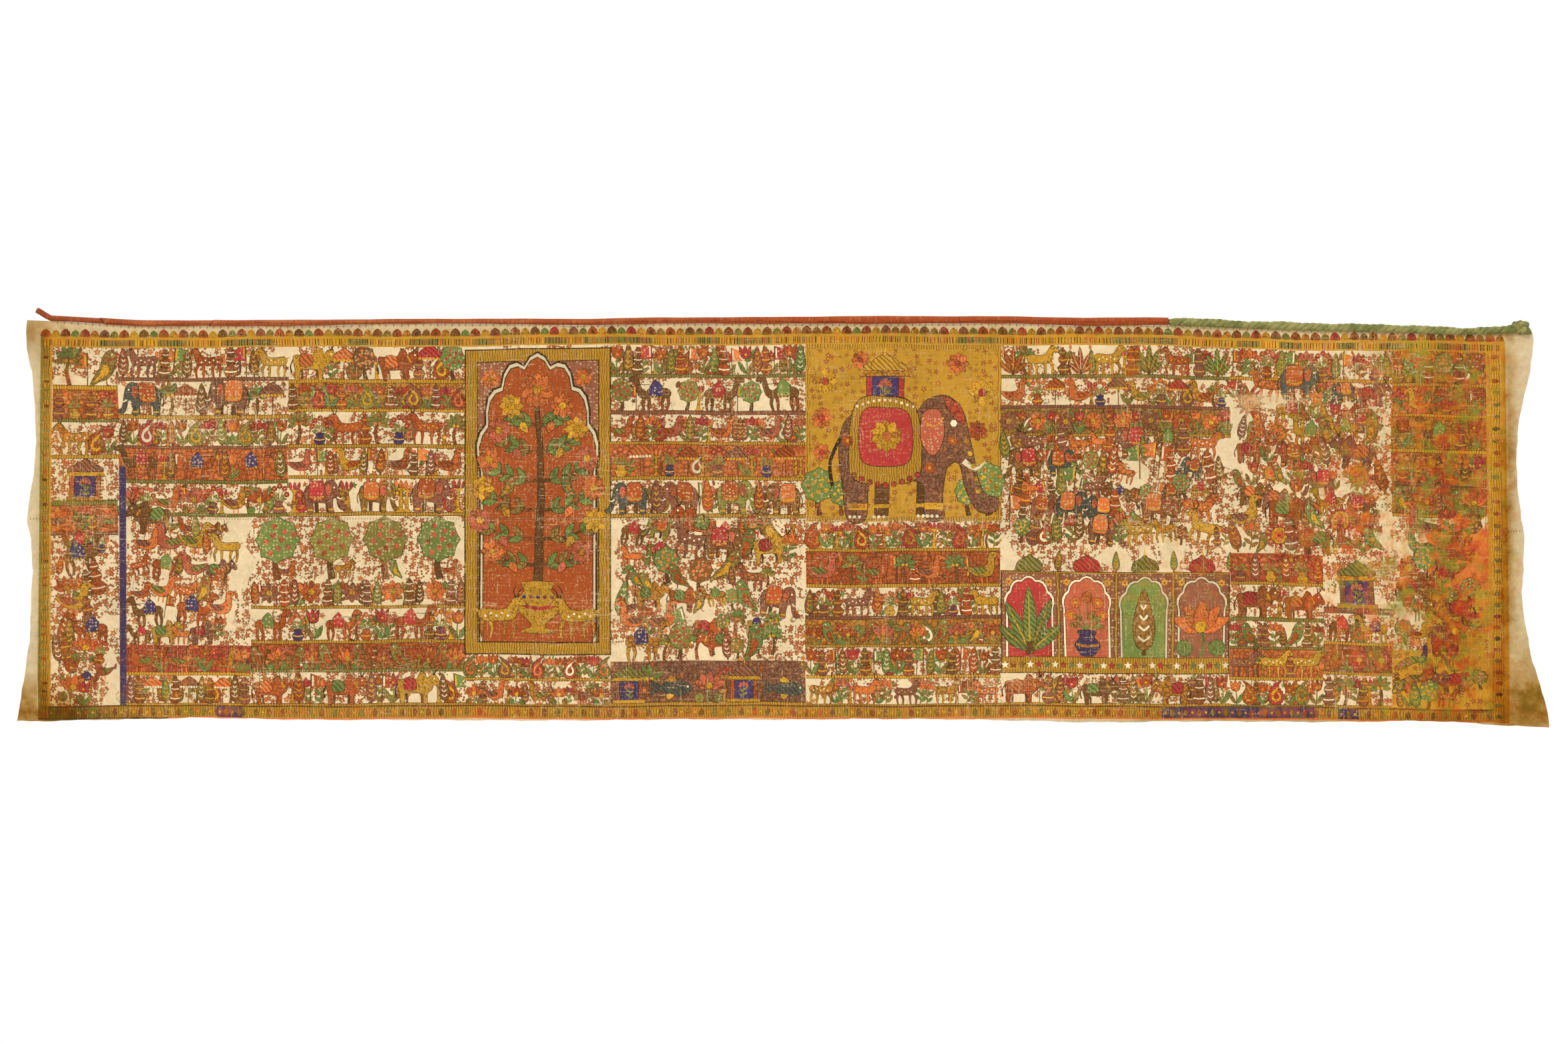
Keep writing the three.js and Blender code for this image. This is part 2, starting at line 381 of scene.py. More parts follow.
def bull(pen, hide, cloth):
    for u in (-.3, .14):
        pen.stroke([(u, .36), (u + .04, .18), (u + .03, 0)], (.09, .06), "umber", 2)
    pen.shape([(-.55, .6), (-.46, .72), (-.12, .68), (.06, .74), (.16, .94), (.3, .86), (.36, .74),
               (.48, .84), (.6, .86), (.72, .68), (.78, .54), (.7, .48), (.56, .56), (.48, .4),
               (.34, .28), (.33, 0), (.22, 0), (.2, .28), (-.12, .3), (-.32, .28), (-.34, 0), (-.45, 0),
               (-.48, .3)], hide)
    for end in ((.5, 1.12), (.74, 1.08)):
        pen.stroke([(.56, .84), ((.56 + end[0]) / 2, .98), end], (.05, .015), "black")
    pen.shape([(-.32, .74), (-.02, .72), (.02, .42), (-.34, .4)], cloth, hatch=1)
    pen.disc(.58, .74, .03, "chalk", 6, 1)
    pen.stroke([(.34, .72), (.44, .52)], (.05, .05), "yellow", 2)
    pen.stroke([(-.54, .6), (-.62, .4), (-.58, .2)], (.03, .05), "black")


def deer(pen, hide, spot):
    for u, lean in ((-.34, -.05), (-.22, .08), (.16, -.02), (.3, .1)):
        pen.stroke([(u, .48), (u + lean, .24), (u + lean / 2, 0)], (.1, .035), hide, 2, line=1.2)
    pen.shape([(-.46, .56), (-.36, .7), (-.04, .66), (.2, .7), (.34, .9),
               (.46, .98), (.58, .88), (.66, .78), (.56, .76), (.46, .74),
               (.42, .56), (.3, .42), (-.02, .4), (-.34, .42)], hide)
    pen.stroke([(.42, .94), (.36, 1.1), (.44, 1.24)], (.04, .015), "black", 2)
    pen.stroke([(.46, .95), (.5, 1.1), (.6, 1.18)], (.04, .015), "black", 2)
    for i in range(5):
        pen.disc(-.3 + .13 * i, .52 + .06 * (i % 2), .032, spot, 5)
    pen.disc(.5, .86, .022, "black", 5)
    pen.stroke([(-.44, .62), (-.54, .7)], (.06, .02), hide, 2)


def camel(pen, hide, cloth):
    for u, lean in ((-.36, -.04), (-.26, .06), (.2, -.02), (.32, .06)):
        pen.stroke([(u, .46), (u + lean, .22), (u, 0)], (.11, .045), hide, 2, line=1.2)
    pen.shape([(-.46, .56), (-.34, .68), (-.16, .7), (-.02, .92), (.12, .74), (.28, .6), (.42, .66),
               (.48, .88), (.56, 1.04), (.68, 1.04), (.8, .94), (.76, .88), (.64, .9), (.58, .7),
               (.5, .46), (.34, .38), (-.02, .42), (-.38, .4)], hide)
    pen.board([(-.2, .76), (0, .96), (.16, .74), (.18, .44), (-.2, .46)], cloth, hatch=2)
    for i in range(4):
        pen.disc(-.16 + .1 * i, .42, .03, "yellow", 5)
    pen.stroke([(.72, .92), (.56, .8), (.16, .8)], (.02, .02), "black", 2)
    pen.disc(.64, .98, .022, "black", 5)


def peacock(pen, body, eyes):
    pen.shape([(0, .54), (-.3, .56), (-.66, .4), (-.92, .14), (-.84, .04),
               (-.52, .14), (-.16, .3), (.02, .36)], "olive", hatch=3)
    for u, v in ((-.84, .12), (-.66, .22), (-.6, .36), (-.44, .28), (-.36, .44),
                 (-.22, .38)):
        pen.disc(u, v, .055, eyes, 7)
        pen.disc(u, v, .025, "indigo", 5)
    for u in (.06, .16):
        pen.stroke([(u, .36), (u + .02, 0)], (.035, .03), "umber", 2)
    pen.shape([(0, .52), (.16, .62), (.22, .8), (.25, .96), (.35, 1.0), (.42, .93),
               (.37, .88), (.36, .7), (.34, .48), (.2, .32), (.02, .34)], body)
    pen.stroke([(.4, .94), (.5, .9)], (.05, .01), "orange", 2)
    for lean in (-.08, 0, .08):
        pen.stroke([(.32, .98), (.32 + lean, 1.1)], (.015, .04), "black", 2)
    pen.shape([(.02, .48), (.16, .52), (.24, .42), (.04, .38)], "ochre", line=1)


def parrot(pen, body, wing):
    pen.shape([(-.3, -.02), (-.22, .2), (-.06, .46), (.02, .74), (.14, .94), (.3, .96), (.4, .84),
               (.36, .64), (.32, .4), (.16, .2), (-.06, .12)], body)
    pen.shape([(-.22, .1), (-.04, .34), (.04, .58), (.18, .54), (.18, .34), (0, .2)], wing, line=1)
    pen.stroke([(.38, .88), (.48, .82), (.44, .72)], (.09, .02), "crimson")
    pen.stroke([(.06, .74), (.2, .7), (.35, .76)], (.04, .04), "crimson")
    pen.disc(.27, .86, .03, "chalk", 5)
    pen.stroke([(.14, .2), (.16, .04), (.26, .02)], (.04, .03), "umber", 2)


def goose(pen, body, wing):
    for u in (-.06, .1):
        pen.stroke([(u, .26), (u + .02, 0)], (.04, .05), "orange", 2)
    pen.shape([(-.52, .52), (-.3, .5), (0, .52), (.14, .64), (.16, .84), (.26, .98), (.4, .96),
               (.44, .86), (.34, .78), (.34, .5), (.22, .24), (-.14, .2), (-.4, .34)], body)
    pen.shape([(-.42, .5), (-.12, .5), (.1, .42), (-.04, .3), (-.28, .34)], wing, hatch=1, line=1)
    pen.stroke([(.42, .9), (.58, .84)], (.09, .02), "orange", 2)
    pen.disc(.32, .9, .025, "black", 5)


def fish(pen, body, fins):
    pen.shape([(.62, .28), (.34, .48), (-.06, .5), (-.36, .34), (-.62, .54), (-.56, .28), (-.62, .02),
               (-.36, .22), (-.06, .06), (.34, .08)], body, hatch=3)
    pen.shape([(.16, .48), (-.04, .64), (-.16, .48)], fins, line=1)
    pen.shape([(.1, .08), (-.06, -.06), (-.14, .1)], fins, line=1)
    pen.stroke([(.36, .44), (.3, .28), (.36, .12)], (.03, .03), "black", 2)
    pen.disc(.47, .33, .035, "chalk", 6, .8)


# ---- plants ----------------------------------------------------------------------------
def leaf(pen, length, width, colour, line=1.0):
    pen.shape([(0, 0), (width / 2, length * .4), (0, length), (-width / 2, length * .4)],
              colour, line=line)


def flower(pen, petals, colour, heart, line=1.0):
    """A round flower about 1 across, its middle at the pen."""
    for i in range(petals):
        one = pen.at(0, 0, 1, math.tau * i / petals)
        one.shape([(0, .1), (.15, .3), (0, .5), (-.15, .3)], colour, line=line)
    pen.disc(0, 0, .15, heart, 7, line)


def sprig(pen, bloom, leaves):
    pen.stroke([(0, 0), (.04, .35), (0, .72)], (.05, .03), "olive")
    for v, side in ((.1, 1), (.2, -1), (.36, 1), (.46, -1)):
        leaf(pen.at(.02, v, 1, -.95 * side), .3, .13, leaves)
    for side in (-1, 1):
        pen.stroke([(.02, .4), (.14 * side, .56), (.19 * side, .64)], (.03, .02), "olive", 2)
        leaf(pen.at(.19 * side, .62, 1, -.3 * side), .17, .14, bloom)
    for tilt in (-.75, .75, 0):
        leaf(pen.at(0, .66, 1, tilt), .34, .19, bloom, 1.3)


def tulip(pen, bloom, leaves):
    pen.stroke([(0, 0), (-.03, .3), (0, .62)], (.06, .04), "green")
    for side in (-1, 1):
        pen.shape([(0, .05), (.2 * side, .16), (.28 * side, .46), (.14 * side, .36)], leaves, line=1)
    pen.shape([(0, .55), (.15, .62), (.2, .98), (.08, .84), (0, 1.0), (-.08, .84),
               (-.2, .98), (-.15, .62)], bloom)
    pen.disc(0, .68, .045, "yellow", 5)


def cypress(pen, crown, marks):
    pen.stroke([(0, 0), (0, .16)], (.07, .05), "umber", 2)
    pen.shape([(0, 1.0), (.1, .74), (.165, .42), (.12, .16), (0, .09), (-.12, .16),
               (-.165, .42), (-.1, .74)], crown)
    for v in (.22, .38, .54, .7):
        reach = .11 * (1.05 - v)
        pen.stroke([(-reach, v + .07), (0, v), (reach, v + .07)], (.03, .03), marks, 2)


def tree(pen, crown, fruit):
    pen.stroke([(.02, 0), (-.02, .22), (0, .46)], (.12, .06), "umber", line=1)
    rim = [(.33 * (1 + .09 * math.cos(8 * a)) * math.cos(a),
            .64 + .35 * (1 + .09 * math.cos(8 * a)) * math.sin(a))
           for a in (math.tau * i / 24 for i in range(24))]
    pen.board(rim, crown, hatch=2, line=1.7)
    for i in range(9):
        spread, turn = .27 * math.sqrt((i + .4) / 9), 2.4 * i
        pen.disc(spread * math.cos(turn), .64 + spread * math.sin(turn), .05, fruit, 6)


def palm(pen, fronds, fruit):
    pen.stroke([(.03, 0), (-.04, .32), (.02, .68)], (.1, .06), "brown", line=1)
    for i in range(7):
        turn = -1.9 + 3.8 * i / 6
        one = pen.at(.02, .66, 1, turn)
        one.shape([(0, 0), (.09, .16), (.05, .36), (-.06, .22)], fronds, line=1)
    for side in (-1, 1):
        pen.disc(.02 + .06 * side, .61, .05, fruit, 6, 1)


def plantain(pen, leaves, spike):
    for turn, length in ((-.9, .62), (.9, .6), (-.4, .86), (.45, .82), (0, .98)):
        one = pen.at(0, .06, 1, turn)
        one.shape([(0, 0), (.1, length * .45), (0, length), (-.1, length * .45)], leaves,
                  hatch=1, line=1.3)
        one.stroke([(0, .02), (0, length * .9)], (.03, .01), spike, 1)
    pen.stroke([(0, 0), (0, .2)], (.12, .08), "umber", 2)


def lotus(pen, bloom, pads):
    pen.stroke([(0, 0), (.05, .2), (0, .42)], (.05, .04), "green")
    for side in (-1, 1):
        pen.disc(.24 * side, .12, .13, pads, 8, 1)
    for tilt in (-1.15, 1.15, -.6, .6, 0):
        leaf(pen.at(0, .38, 1, tilt), .46, .22, bloom, 1.3)
    pen.disc(0, .44, .09, "yellow", 7, 1)


def paisley(pen, body, heart):
    for scale, colour, line in ((1.0, body, 1.8), (.66, heart, 1.0), (.34, body, .8)):
        one = pen.at(0, .36 * (1 - scale), scale)
        one.shape([(0, 0), (.24, .12), (.3, .38), (.2, .66), (-.02, .86), (-.24, .98), (-.1, .8),
                   (-.14, .62), (-.28, .4), (-.24, .12)], colour, line=line)


# ---- pots, lamps and buildings -----------------------------------------------------------
def vase(pen, pot, bloom):
    for turn, length in ((-.75, .42), (.75, .42), (-.36, .56), (.36, .56), (0, .62)):
        one = pen.at(0, .34, 1, turn)
        one.stroke([(0, 0), (.02, length * .8)], (.03, .02), "green", 2)
        leaf(one.at(.01, length * .35, 1, .8 if turn > 0 else -.8), .16, .09, "olive", .8)
        one.disc(0, length * .86, .085, bloom, 8, 1.2)
        one.disc(0, length * .86, .03, "yellow", 5)
    pen.shape(mirrored([(.08, 0), (.12, .04), (.19, .16), (.1, .28), (.13, .37)]), pot)
    pen.stroke([(-.17, .17), (0, .14), (.17, .17)], (.04, .04), "yellow", 2)


def urns(pen, pot, band):
    for v, size in ((0, .46), (.38, .36), (.68, .28)):
        one = pen.at(0, v, size)
        one.shape(mirrored([(.2, 0), (.42, .34), (.36, .66), (.16, .84), (.22, 1.0)]), pot)
        one.stroke([(-.4, .42), (0, .36), (.4, .42)], (.09, .09), band, 2)


def lamp(pen, brass, flame):
    pen.board(mirrored([(.16, 0), (.05, .1), (.03, .6), (.16, .7)]), brass)
    pen.disc(0, .3, .07, brass, 7, 1)
    for side in (-1, 0, 1):
        leaf(pen.at(.11 * side, .7, 1, -.2 * side), .24, .1, flame)


def parasol(pen, cover, fringe):
    pen.stroke([(0, 0), (0, .92)], (.035, .03), "umber", 1)
    pen.shape(mirrored([(.34, .62), (.3, .8), (.14, .92), (0, 1.0)]), cover, hatch=1)
    for i in range(7):
        pen.disc(-.3 + .1 * i, .61, .045, fringe, 6, .8)


def pennant(pen, cloth, edge):
    pen.stroke([(-.1, 0), (-.1, 1.0)], (.035, .03), "umber", 1)
    pen.board([(-.08, .98), (.32, .84), (.14, .72), (.3, .54), (-.08, .52)], cloth, hatch=2)
    pen.stroke([(-.04, .92), (-.04, .58)], (.05, .05), edge, 1)


def dome(pen, colour, finial):
    """An onion dome 1 wide on a level base at the pen."""
    pen.shape(mirrored([(.44, 0), (.52, .2), (.4, .42), (.12, .56), (0, .7)]), colour, hatch=1)
    pen.stroke([(0, .66), (0, .92)], (.07, .02), finial, 1)


def pavilion(pen, walls, roof):
    pen.board([(-.4, 0), (.4, 0), (.4, .08), (-.4, .08)], "ochre")
    pen.flat([(-.3, .08), (.3, .08), (.3, .56), (-.3, .56)], "indigo")
    sprig(pen.at(0, .09, .44), "rose", "olive")
    for u in (-.33, .24):
        pen.board([(u, .08), (u + .09, .08), (u + .09, .56), (u, .56)], walls)
    pen.board([(-.44, .56), (.44, .56), (.36, .66), (-.36, .66)], "yellow")
    for u, size in ((-.27, .22), (.27, .22), (0, .46)):
        dome(pen.at(u, .66, size), roof, "yellow")


def arch_points(width, height, lobes, steps=3):
    """The outline of a lobed arch standing on its foot."""
    half, spring = width / 2, height * .62
    rim = [(half, 0), (half, spring)]
    for i in range(lobes):
        a0, a1 = math.pi * i / lobes, math.pi * (i + 1) / lobes
        for step in range(1, steps + 1):
            a = a0 + (a1 - a0) * step / steps
            bulge = 1 + .1 * math.sin(math.pi * step / steps)
            rim.append((half * bulge * math.cos(a), spring + (height - spring) * bulge * math.sin(a)))
    return [*rim, (-half, 0)]


# ---- heavens and small fillers -----------------------------------------------------------
def sun(pen, face, rays):
    for i in range(14):
        one = pen.at(0, .5, 1, math.tau * i / 14)
        one.board([(-.07, .24), (.07, .24), (0, .48)], rays, line=1)
    pen.disc(0, .5, .27, face, 14, 1.7)
    flower(pen.at(0, .5, .4), 8, "orange", "crimson", .8)


def star(pen, colour):
    pen.board([(.5 * (1 if i % 2 == 0 else .42) * math.sin(math.pi * i / 5),
                .5 + .5 * (1 if i % 2 == 0 else .42) * math.cos(math.pi * i / 5))
               for i in range(10)], colour, line=1)


def rosette(pen, petals, heart):
    flower(pen.at(0, .5, 1), 8, petals, heart)


def bud(pen, colour):
    leaf(pen, 1.0, .6, colour)


def lone_leaf(pen, colour):
    leaf(pen, 1.1, .45, colour)


def dots(pen, colour):
    for u, v in ((-.3, .3), (.3, .3), (0, .8)):
        pen.disc(u, v, .19, colour, 5)


# ---- large pieces of the painting -------------------------------------------------------
def great_tree(pen, trunk, leaves, blooms):
    """A flowering tree in a footed vase, about .5 wide, its branches in pairs."""
    pen.stroke([(0, .16), (.012, .5), (0, .9)], (.035, .012), trunk, 6, line=1.2)
    for i, (v, reach, rise) in enumerate(((.26, .17, .05), (.36, .22, .07),
                                          (.47, .21, .08), (.58, .19, .08),
                                          (.69, .15, .08), (.79, .1, .07))):
        for side in (-1, 1):
            tip = (side * reach, v + rise)
            pen.stroke([(0, v), (side * reach * .55, v + rise * .1), tip], (.016, .008), trunk, 4)
            for share in (.25, .5, .75):
                for turn in (-.6, .6):
                    root = (side * reach * share, v + rise * share * share * .8)
                    leaf(pen.at(*root, 1, -side * 1.2 + turn), .055, .026, leaves, .9)
            bloom = blooms[(i + (side > 0)) % len(blooms)]
            flower(pen.at(*tip, .095), 8, bloom, "yellow", 1.1)
            leaf(pen.at(side * reach * .62, v + .01, 1, side * 2.6), .045, .03, bloom, .9)
    flower(pen.at(0, .92, .13), 10, blooms[0], "yellow", 1.2)
    for side in (-1, 1):
        parrot(Pen(*pen.on_cloth([(side * .12, .515)])[0], pen.size * .085, -side), "green", "ochre")
    pot = pen.at(0, 0, .22)
    pot.shape(mirrored([(.3, 0), (.12, .1), (.16, .2), (.4, .46), (.22, .74), (.28, .88)]), "ochre")
    pot.stroke([(-.36, .5), (0, .42), (.36, .5)], (.06, .06), "crimson", 4)
    for i in range(5):
        pot.disc(-.24 + .12 * i, .62, .035, "indigo", 7)


def great_niche(left, right, foot, top, ground, frame_colour):
    """A lobed arch as high as several registers, with a flowering tree and two deer."""
    width, height = right - left, top - foot
    slab(left, right, foot, top, "black")
    slab(left + 4, right - 4, foot + 4, top - 4, frame_colour, 4)
    rim = .085 * width
    slab(left + rim, right - rim, foot + rim, top - rim, "black")
    slab(left + rim + 3, right - rim - 3, foot + rim + 3, top - rim - 3, "mauve", 2)
    pen = Pen((left + right) / 2, foot + rim + 3, height)
    inner = (width - 2 * rim - 22) / height
    arch = arch_points(inner, .905, 7, 4)
    pen.board(arch, "chalk", line=3)
    pen.board([(u * .95, v * .985) for u, v in arch], ground, hatch=5, line=1.5)
    for side in (-1, 1):
        flower(pen.at(side * inner * .4, .86, .065), 8, "orange", "yellow")
    great_tree(pen.at(0, .03, .86), "umber", "green", ("orange", "rose", "yellow"))
    for side in (-1, 1):
        place = pen.on_cloth([(side * .13, .012)])[0]
        deer(Pen(*place, pen.size * .14, -side), "ochre", "chalk")


def great_elephant(pen):
    """The state elephant: a long fringed cloth, a pavilion on its back and a head cloth."""
    pavilion(pen.at(-.11, .88, .46), "crimson", "ochre")
    elephant(pen, "slate", "ochre")
    pen.shape([(-.36, .9), (-.11, .97), (.14, .88), (.16, .36), (-.1, .28),
               (-.4, .36)], "ochre", hatch=4)
    pen.shape([(-.3, .84), (-.1, .88), (.08, .83), (.09, .48), (-.1, .42),
               (-.32, .48)], "crimson", hatch=5)
    flower(pen.at(-.11, .66, .26), 10, "yellow", "orange")
    for i in range(9):
        pen.disc(-.37 + .064 * i, .345 - .075 * math.sin(math.pi * i / 8), .022, "crimson", 8, 1)
    pen.shape([(.38, .97), (.5, .9), (.54, .76), (.46, .8), (.4, .88)], "crimson")
    for i in range(5):
        pen.disc(.555 + .022 * i, .62 - .1 * i, .02, "yellow", 7)
    pen.shape([(.2, .84), (.33, .86), (.37, .66), (.28, .5), (.18, .62)], "rose", hatch=2)
    for u in (-.42, -.22, .14, .21):
        pen.stroke([(u, .1), (u + .14, .1)], (.03, .03), "yellow", 1)
        for toe in (.02, .06, .1):
            pen.disc(u + toe, .015, .014, "chalk", 6)
    for i in range(8):
        fold = (.52 + .018 * i, .55 - .052 * i)
        pen.stroke([fold, (fold[0] + .04, fold[1] - .014), (fold[0] + .08, fold[1] + .005)],
                   (.008, .008), "olive", 2)
    for u, v, size in ((-.43, .62, .1), (.24, .4, .09), (.44, .62, .08)):
        flower(pen.at(u, v, size), 8, "brick", "yellow", .8)
    for i in range(11):
        pen.disc(-.34 + .046 * i, .895 + .05 * math.sin(math.pi * i / 10), .012, "chalk", 6)
        pen.disc(.2 + .016 * i, .8 - .026 * i + .0026 * i * i, .009, "yellow", 5)


def arcade(left, right, foot, top, plants):
    """A row of lobed arches with a plant in each, domes above, and a tiled plinth below."""
    bay = (right - left) / len(plants)
    height = top - foot
    plinth, crown = .13 * height, .2 * height
    slab(left, right, foot, top - crown, "black")
    slab(left + 3, right - 3, foot + 3, top - crown - 3, "ochre", 4)
    for i, (plant, ground, first, second) in enumerate(plants):
        middle = left + bay * (i + .5)
        pen = Pen(middle, foot + plinth, height - plinth - crown * 1.1)
        half = .47 * bay / pen.size
        pen.board([(-half, 0), (half, 0), (half, 1), (-half, 1)], "mauve", hatch=2)
        pen.board(arch_points(half * 1.74, .94, 5, 4), "chalk", line=2)
        pen.board([(u * .9, v * .97) for u, v in arch_points(half * 1.74, .94, 5, 4)], ground, hatch=5)
        plant(pen.at(0, .02, .8), first, second)
        for side in (-1, 1):
            flower(pen.at(side * half * .74, .9, .09), 6, "yellow", "crimson")
        dome(Pen(middle, top - crown, bay * .44), ("olive", "crimson")[i % 2], "yellow")
        cypress(Pen(middle + bay / 2, top - crown, crown * .8), "green", "yellow")
    count = int((right - left) / 26)
    for i in range(count):
        pen = Pen(left + (i + .5) * (right - left) / count, foot + plinth * .26, plinth * .5)
        star(pen, ("chalk", "crimson", "green")[i % 3])


def grove(left, right, foot, top, count):
    """Broad trees side by side with a creature resting under each."""
    bay = (right - left) / count
    for i in range(count):
        middle = left + bay * (i + .5)
        tree(Pen(middle, foot, (top - foot) * .98), hand.choice(("green", "olive")), "rose")
        draw(("goose", "deer", "parrot")[i % 3], middle + bay * .22, foot + 2,
             (top - foot) * .3, hand.choice((-1, 1)))


# ---- what is painted where ----------------------------------------------------------------
# Each kind: how it is drawn, how wide it stands in its own heights, and its two sets of paints.
KINDS = {
    "elephant": (elephant, 1.34, "slate mauve olive brown", "crimson orange brick"),
    "bull": (bull, 1.34, "mauve brick brown ochre", "crimson green orange"),
    "deer": (deer, 1.1, "ochre brick orange mauve", "chalk yellow"),
    "camel": (camel, 1.26, "ochre brown brick", "crimson green indigo"),
    "peacock": (peacock, 1.36, "indigo green slate", "yellow orange"),
    "parrot": (parrot, 0.76, "green olive", "yellow brick"),
    "goose": (goose, 1.04, "orange rose ochre brick", "brick olive mauve"),
    "fish": (fish, 1.24, "orange rose ochre slate", "crimson yellow"),
    "sprig": (sprig, 0.54, "brick crimson orange rose", "green olive"),
    "tulip": (tulip, 0.46, "crimson orange brick", "green olive"),
    "cypress": (cypress, 0.32, "green olive brick mauve brown", "yellow chalk"),
    "tree": (tree, 0.68, "green olive brown", "orange crimson yellow"),
    "palm": (palm, 0.66, "green olive", "orange yellow"),
    "plantain": (plantain, 0.8, "green olive brick", "yellow chalk"),
    "lotus": (lotus, 0.7, "rose brick orange", "green olive"),
    "paisley": (paisley, 0.54, "brick mauve olive crimson", "yellow orange chalk"),
    "vase": (vase, 0.66, "brick ochre mauve indigo", "crimson orange rose"),
    "urns": (urns, 0.38, "brick brown mauve", "yellow chalk"),
    "lamp": (lamp, 0.36, "ochre yellow", "orange crimson"),
    "parasol": (parasol, 0.68, "brick crimson mauve orange", "yellow chalk"),
    "pennant": (pennant, 0.44, "brick orange crimson green", "yellow chalk"),
    "pavilion": (pavilion, 0.86, "brick mauve", "brick mauve olive"),
    "sun": (sun, 1.0, "yellow ochre", "orange crimson"),
    "rosette": (rosette, 0.98, "brick orange crimson mauve", "yellow ochre"),
}
BACKING = "cypress sprig tulip urns pennant lamp palm paisley".split()
FILLERS = (bud, dots, star, lone_leaf)


def draw(kind, x, foot, size, flip=1, tilt=0.0):
    painter, _, first, second = KINDS[kind]
    painter(Pen(x, foot, size, flip, tilt), hand.choice(first.split()), hand.choice(second.split()))


def fill_in(x, z, size):
    """One of the small marks that fill the ground between the motifs."""
    colour = hand.choice(("brick", "mauve", "olive", "ochre", "orange", "brown", "green"))
    hand.choice(FILLERS)(Pen(x, z, size, 1, hand.uniform(-0.5, 0.5)), colour)


def slab(left, right, foot, top, colour, hatch=0):
    """A level band of paint, with points along it so that it can follow a hand-drawn line."""
    steps = max(int((right - left) / 60), 1)
    lower = [(left + (right - left) * i / steps, foot) for i in range(steps + 1)]
    upper = [(x, top) for x, _ in reversed(lower)]
    painted.append((lower + upper, toned(colour, 0.05), hatch))


def register(left, right, foot, height, ground, kinds):
    """A row of motifs on its own ground, spaced to fill the row, with plants set behind them."""
    if ground != "ground":
        slab(left, right, foot, foot + height, ground, 7)
    names = kinds.split()
    start = hand.randrange(len(names))
    row, used = [], 0.0
    facing = hand.choice((1, -1))
    while True:
        kind = names[(start + len(row)) % len(names)]
        size = height * hand.uniform(0.82, 0.95) * (0.82 if kind in ("fish", "rosette", "sun") else 1)
        width = KINDS[kind][1] * size * 0.97
        if used + width > (right - left) * 1.03 and row:
            break
        row.append((kind, size, width))
        used += width
    slack = (right - left - used) / len(row)
    edges = [left]
    for _, _, width in row:
        edges.append(edges[-1] + width + slack)
    for edge in edges[1:-1]:
        if hand.random() < 0.78:
            draw(hand.choice(BACKING), edge, foot + 0.1 * height, height * hand.uniform(0.7, 0.9),
                 hand.choice((-1, 1)))
        else:
            fill_in(edge, foot + 0.72 * height, 0.2 * height)
    band = hand.choice(("ochre", "yellow", "olive", "mauve", "ochre"))
    slab(left, right, foot, foot + 0.115 * height, "black")
    slab(left, right, foot + 1.5, foot + 0.10 * height, band, 4)
    for i, (kind, size, width) in enumerate(row):
        centre = (edges[i] + edges[i + 1]) / 2
        flip = facing if hand.random() < 0.8 else -facing
        foot_at = foot + 0.10 * height + (0.10 * height if kind in ("fish", "rosette") else 0)
        draw(kind, centre, foot_at, size, flip, hand.uniform(-0.03, 0.03))
        for v in (0.86, 0.30):
            if hand.random() < 0.33:
                fill_in(edges[i + 1] + hand.uniform(-0.1, 0.1) * height, foot + v * height,
                        0.15 * height)


def strewn(left, right, foot, top, tall, kinds):
    """Motifs of all sizes over bare ground, overlapping and leaning, as in a hunt."""
    names = kinds.split()
    rows = round((top - foot) / (0.66 * tall))
    for row in range(rows):
        base = top - (row + 1) * (top - foot) / rows
        x = left + hand.uniform(0, 0.35) * tall
        while True:
            kind = hand.choice(names)
            size = tall * hand.choice((0.62, 0.80, 0.95, 1.08))
            wide = KINDS[kind][1] * size
            if x + wide > right:
                break
            foot_at = max(base + hand.uniform(-0.16, 0.20) * tall, foot + 3)
            draw(kind, x + wide / 2, foot_at, size, hand.choice((-1, 1)), hand.uniform(-0.24, 0.24))
            if hand.random() < 0.3:
                fill_in(x + wide, foot_at + hand.uniform(0, 0.7) * size, 0.18 * tall)
            x += wide * hand.uniform(0.62, 0.88)


def block(left, right, top, rows):
    """Registers one below another, each with its height, ground and motifs."""
    foot = top
    for height, ground, kinds in rows:
        foot -= height
        register(left, right, foot, height, ground, kinds)


FIELD_TOP, FIELD_FOOT = -99, -1258
PLAIN = "ground"
slab(-2360, 2265, FIELD_FOOT, FIELD_TOP, "ground", 8)
block(-2360, -2148, FIELD_TOP, [
    (138, PLAIN, "palm parrot"), (104, "brick", "vase urns"), (118, PLAIN, "deer tulip"),
    (150, PLAIN, "pavilion"), (96, "orange", "goose sprig"),
])
strewn(-2360, -2148, FIELD_FOOT, -705, 104, "tree urns camel lotus goose cypress vase tulip")
block(-2148, -1600, FIELD_TOP, [
    (108, PLAIN, "pennant cypress deer urns"), (122, PLAIN, "elephant parasol"),
    (96, PLAIN, "sprig cypress tulip paisley"), (112, "orange", "camel cypress"),
    (106, PLAIN, "goose lotus vase"),
])
strewn(-2126, -1720, -1060, FIELD_TOP - 544, 100,
       "bull deer camel cypress sprig parrot goose pennant urns")
block(-2126, -1720, -1060, [(98, "crimson", "goose tulip"), (100, PLAIN, "urns parasol cypress"),])
block(-1600, -1030, FIELD_TOP, [
    (118, PLAIN, "tree bull parasol"), (92, "ochre", "tulip urns sprig paisley"),
    (116, PLAIN, "vase deer palm"), (98, PLAIN, "cypress goose pennant"),
    (120, PLAIN, "elephant lamp"),
])
grove(-1720, -1030, -845, -643, 4)
block(-1720, -1030, -845, [
    (96, PLAIN, "rosette urns cypress"), (112, PLAIN, "camel vase tulip"),
    (92, "brick", "parrot lotus"), (113, PLAIN, "bull cypress pennant"),
])
great_niche(-1030, -560, -1090, -108, "brick", "ochre")
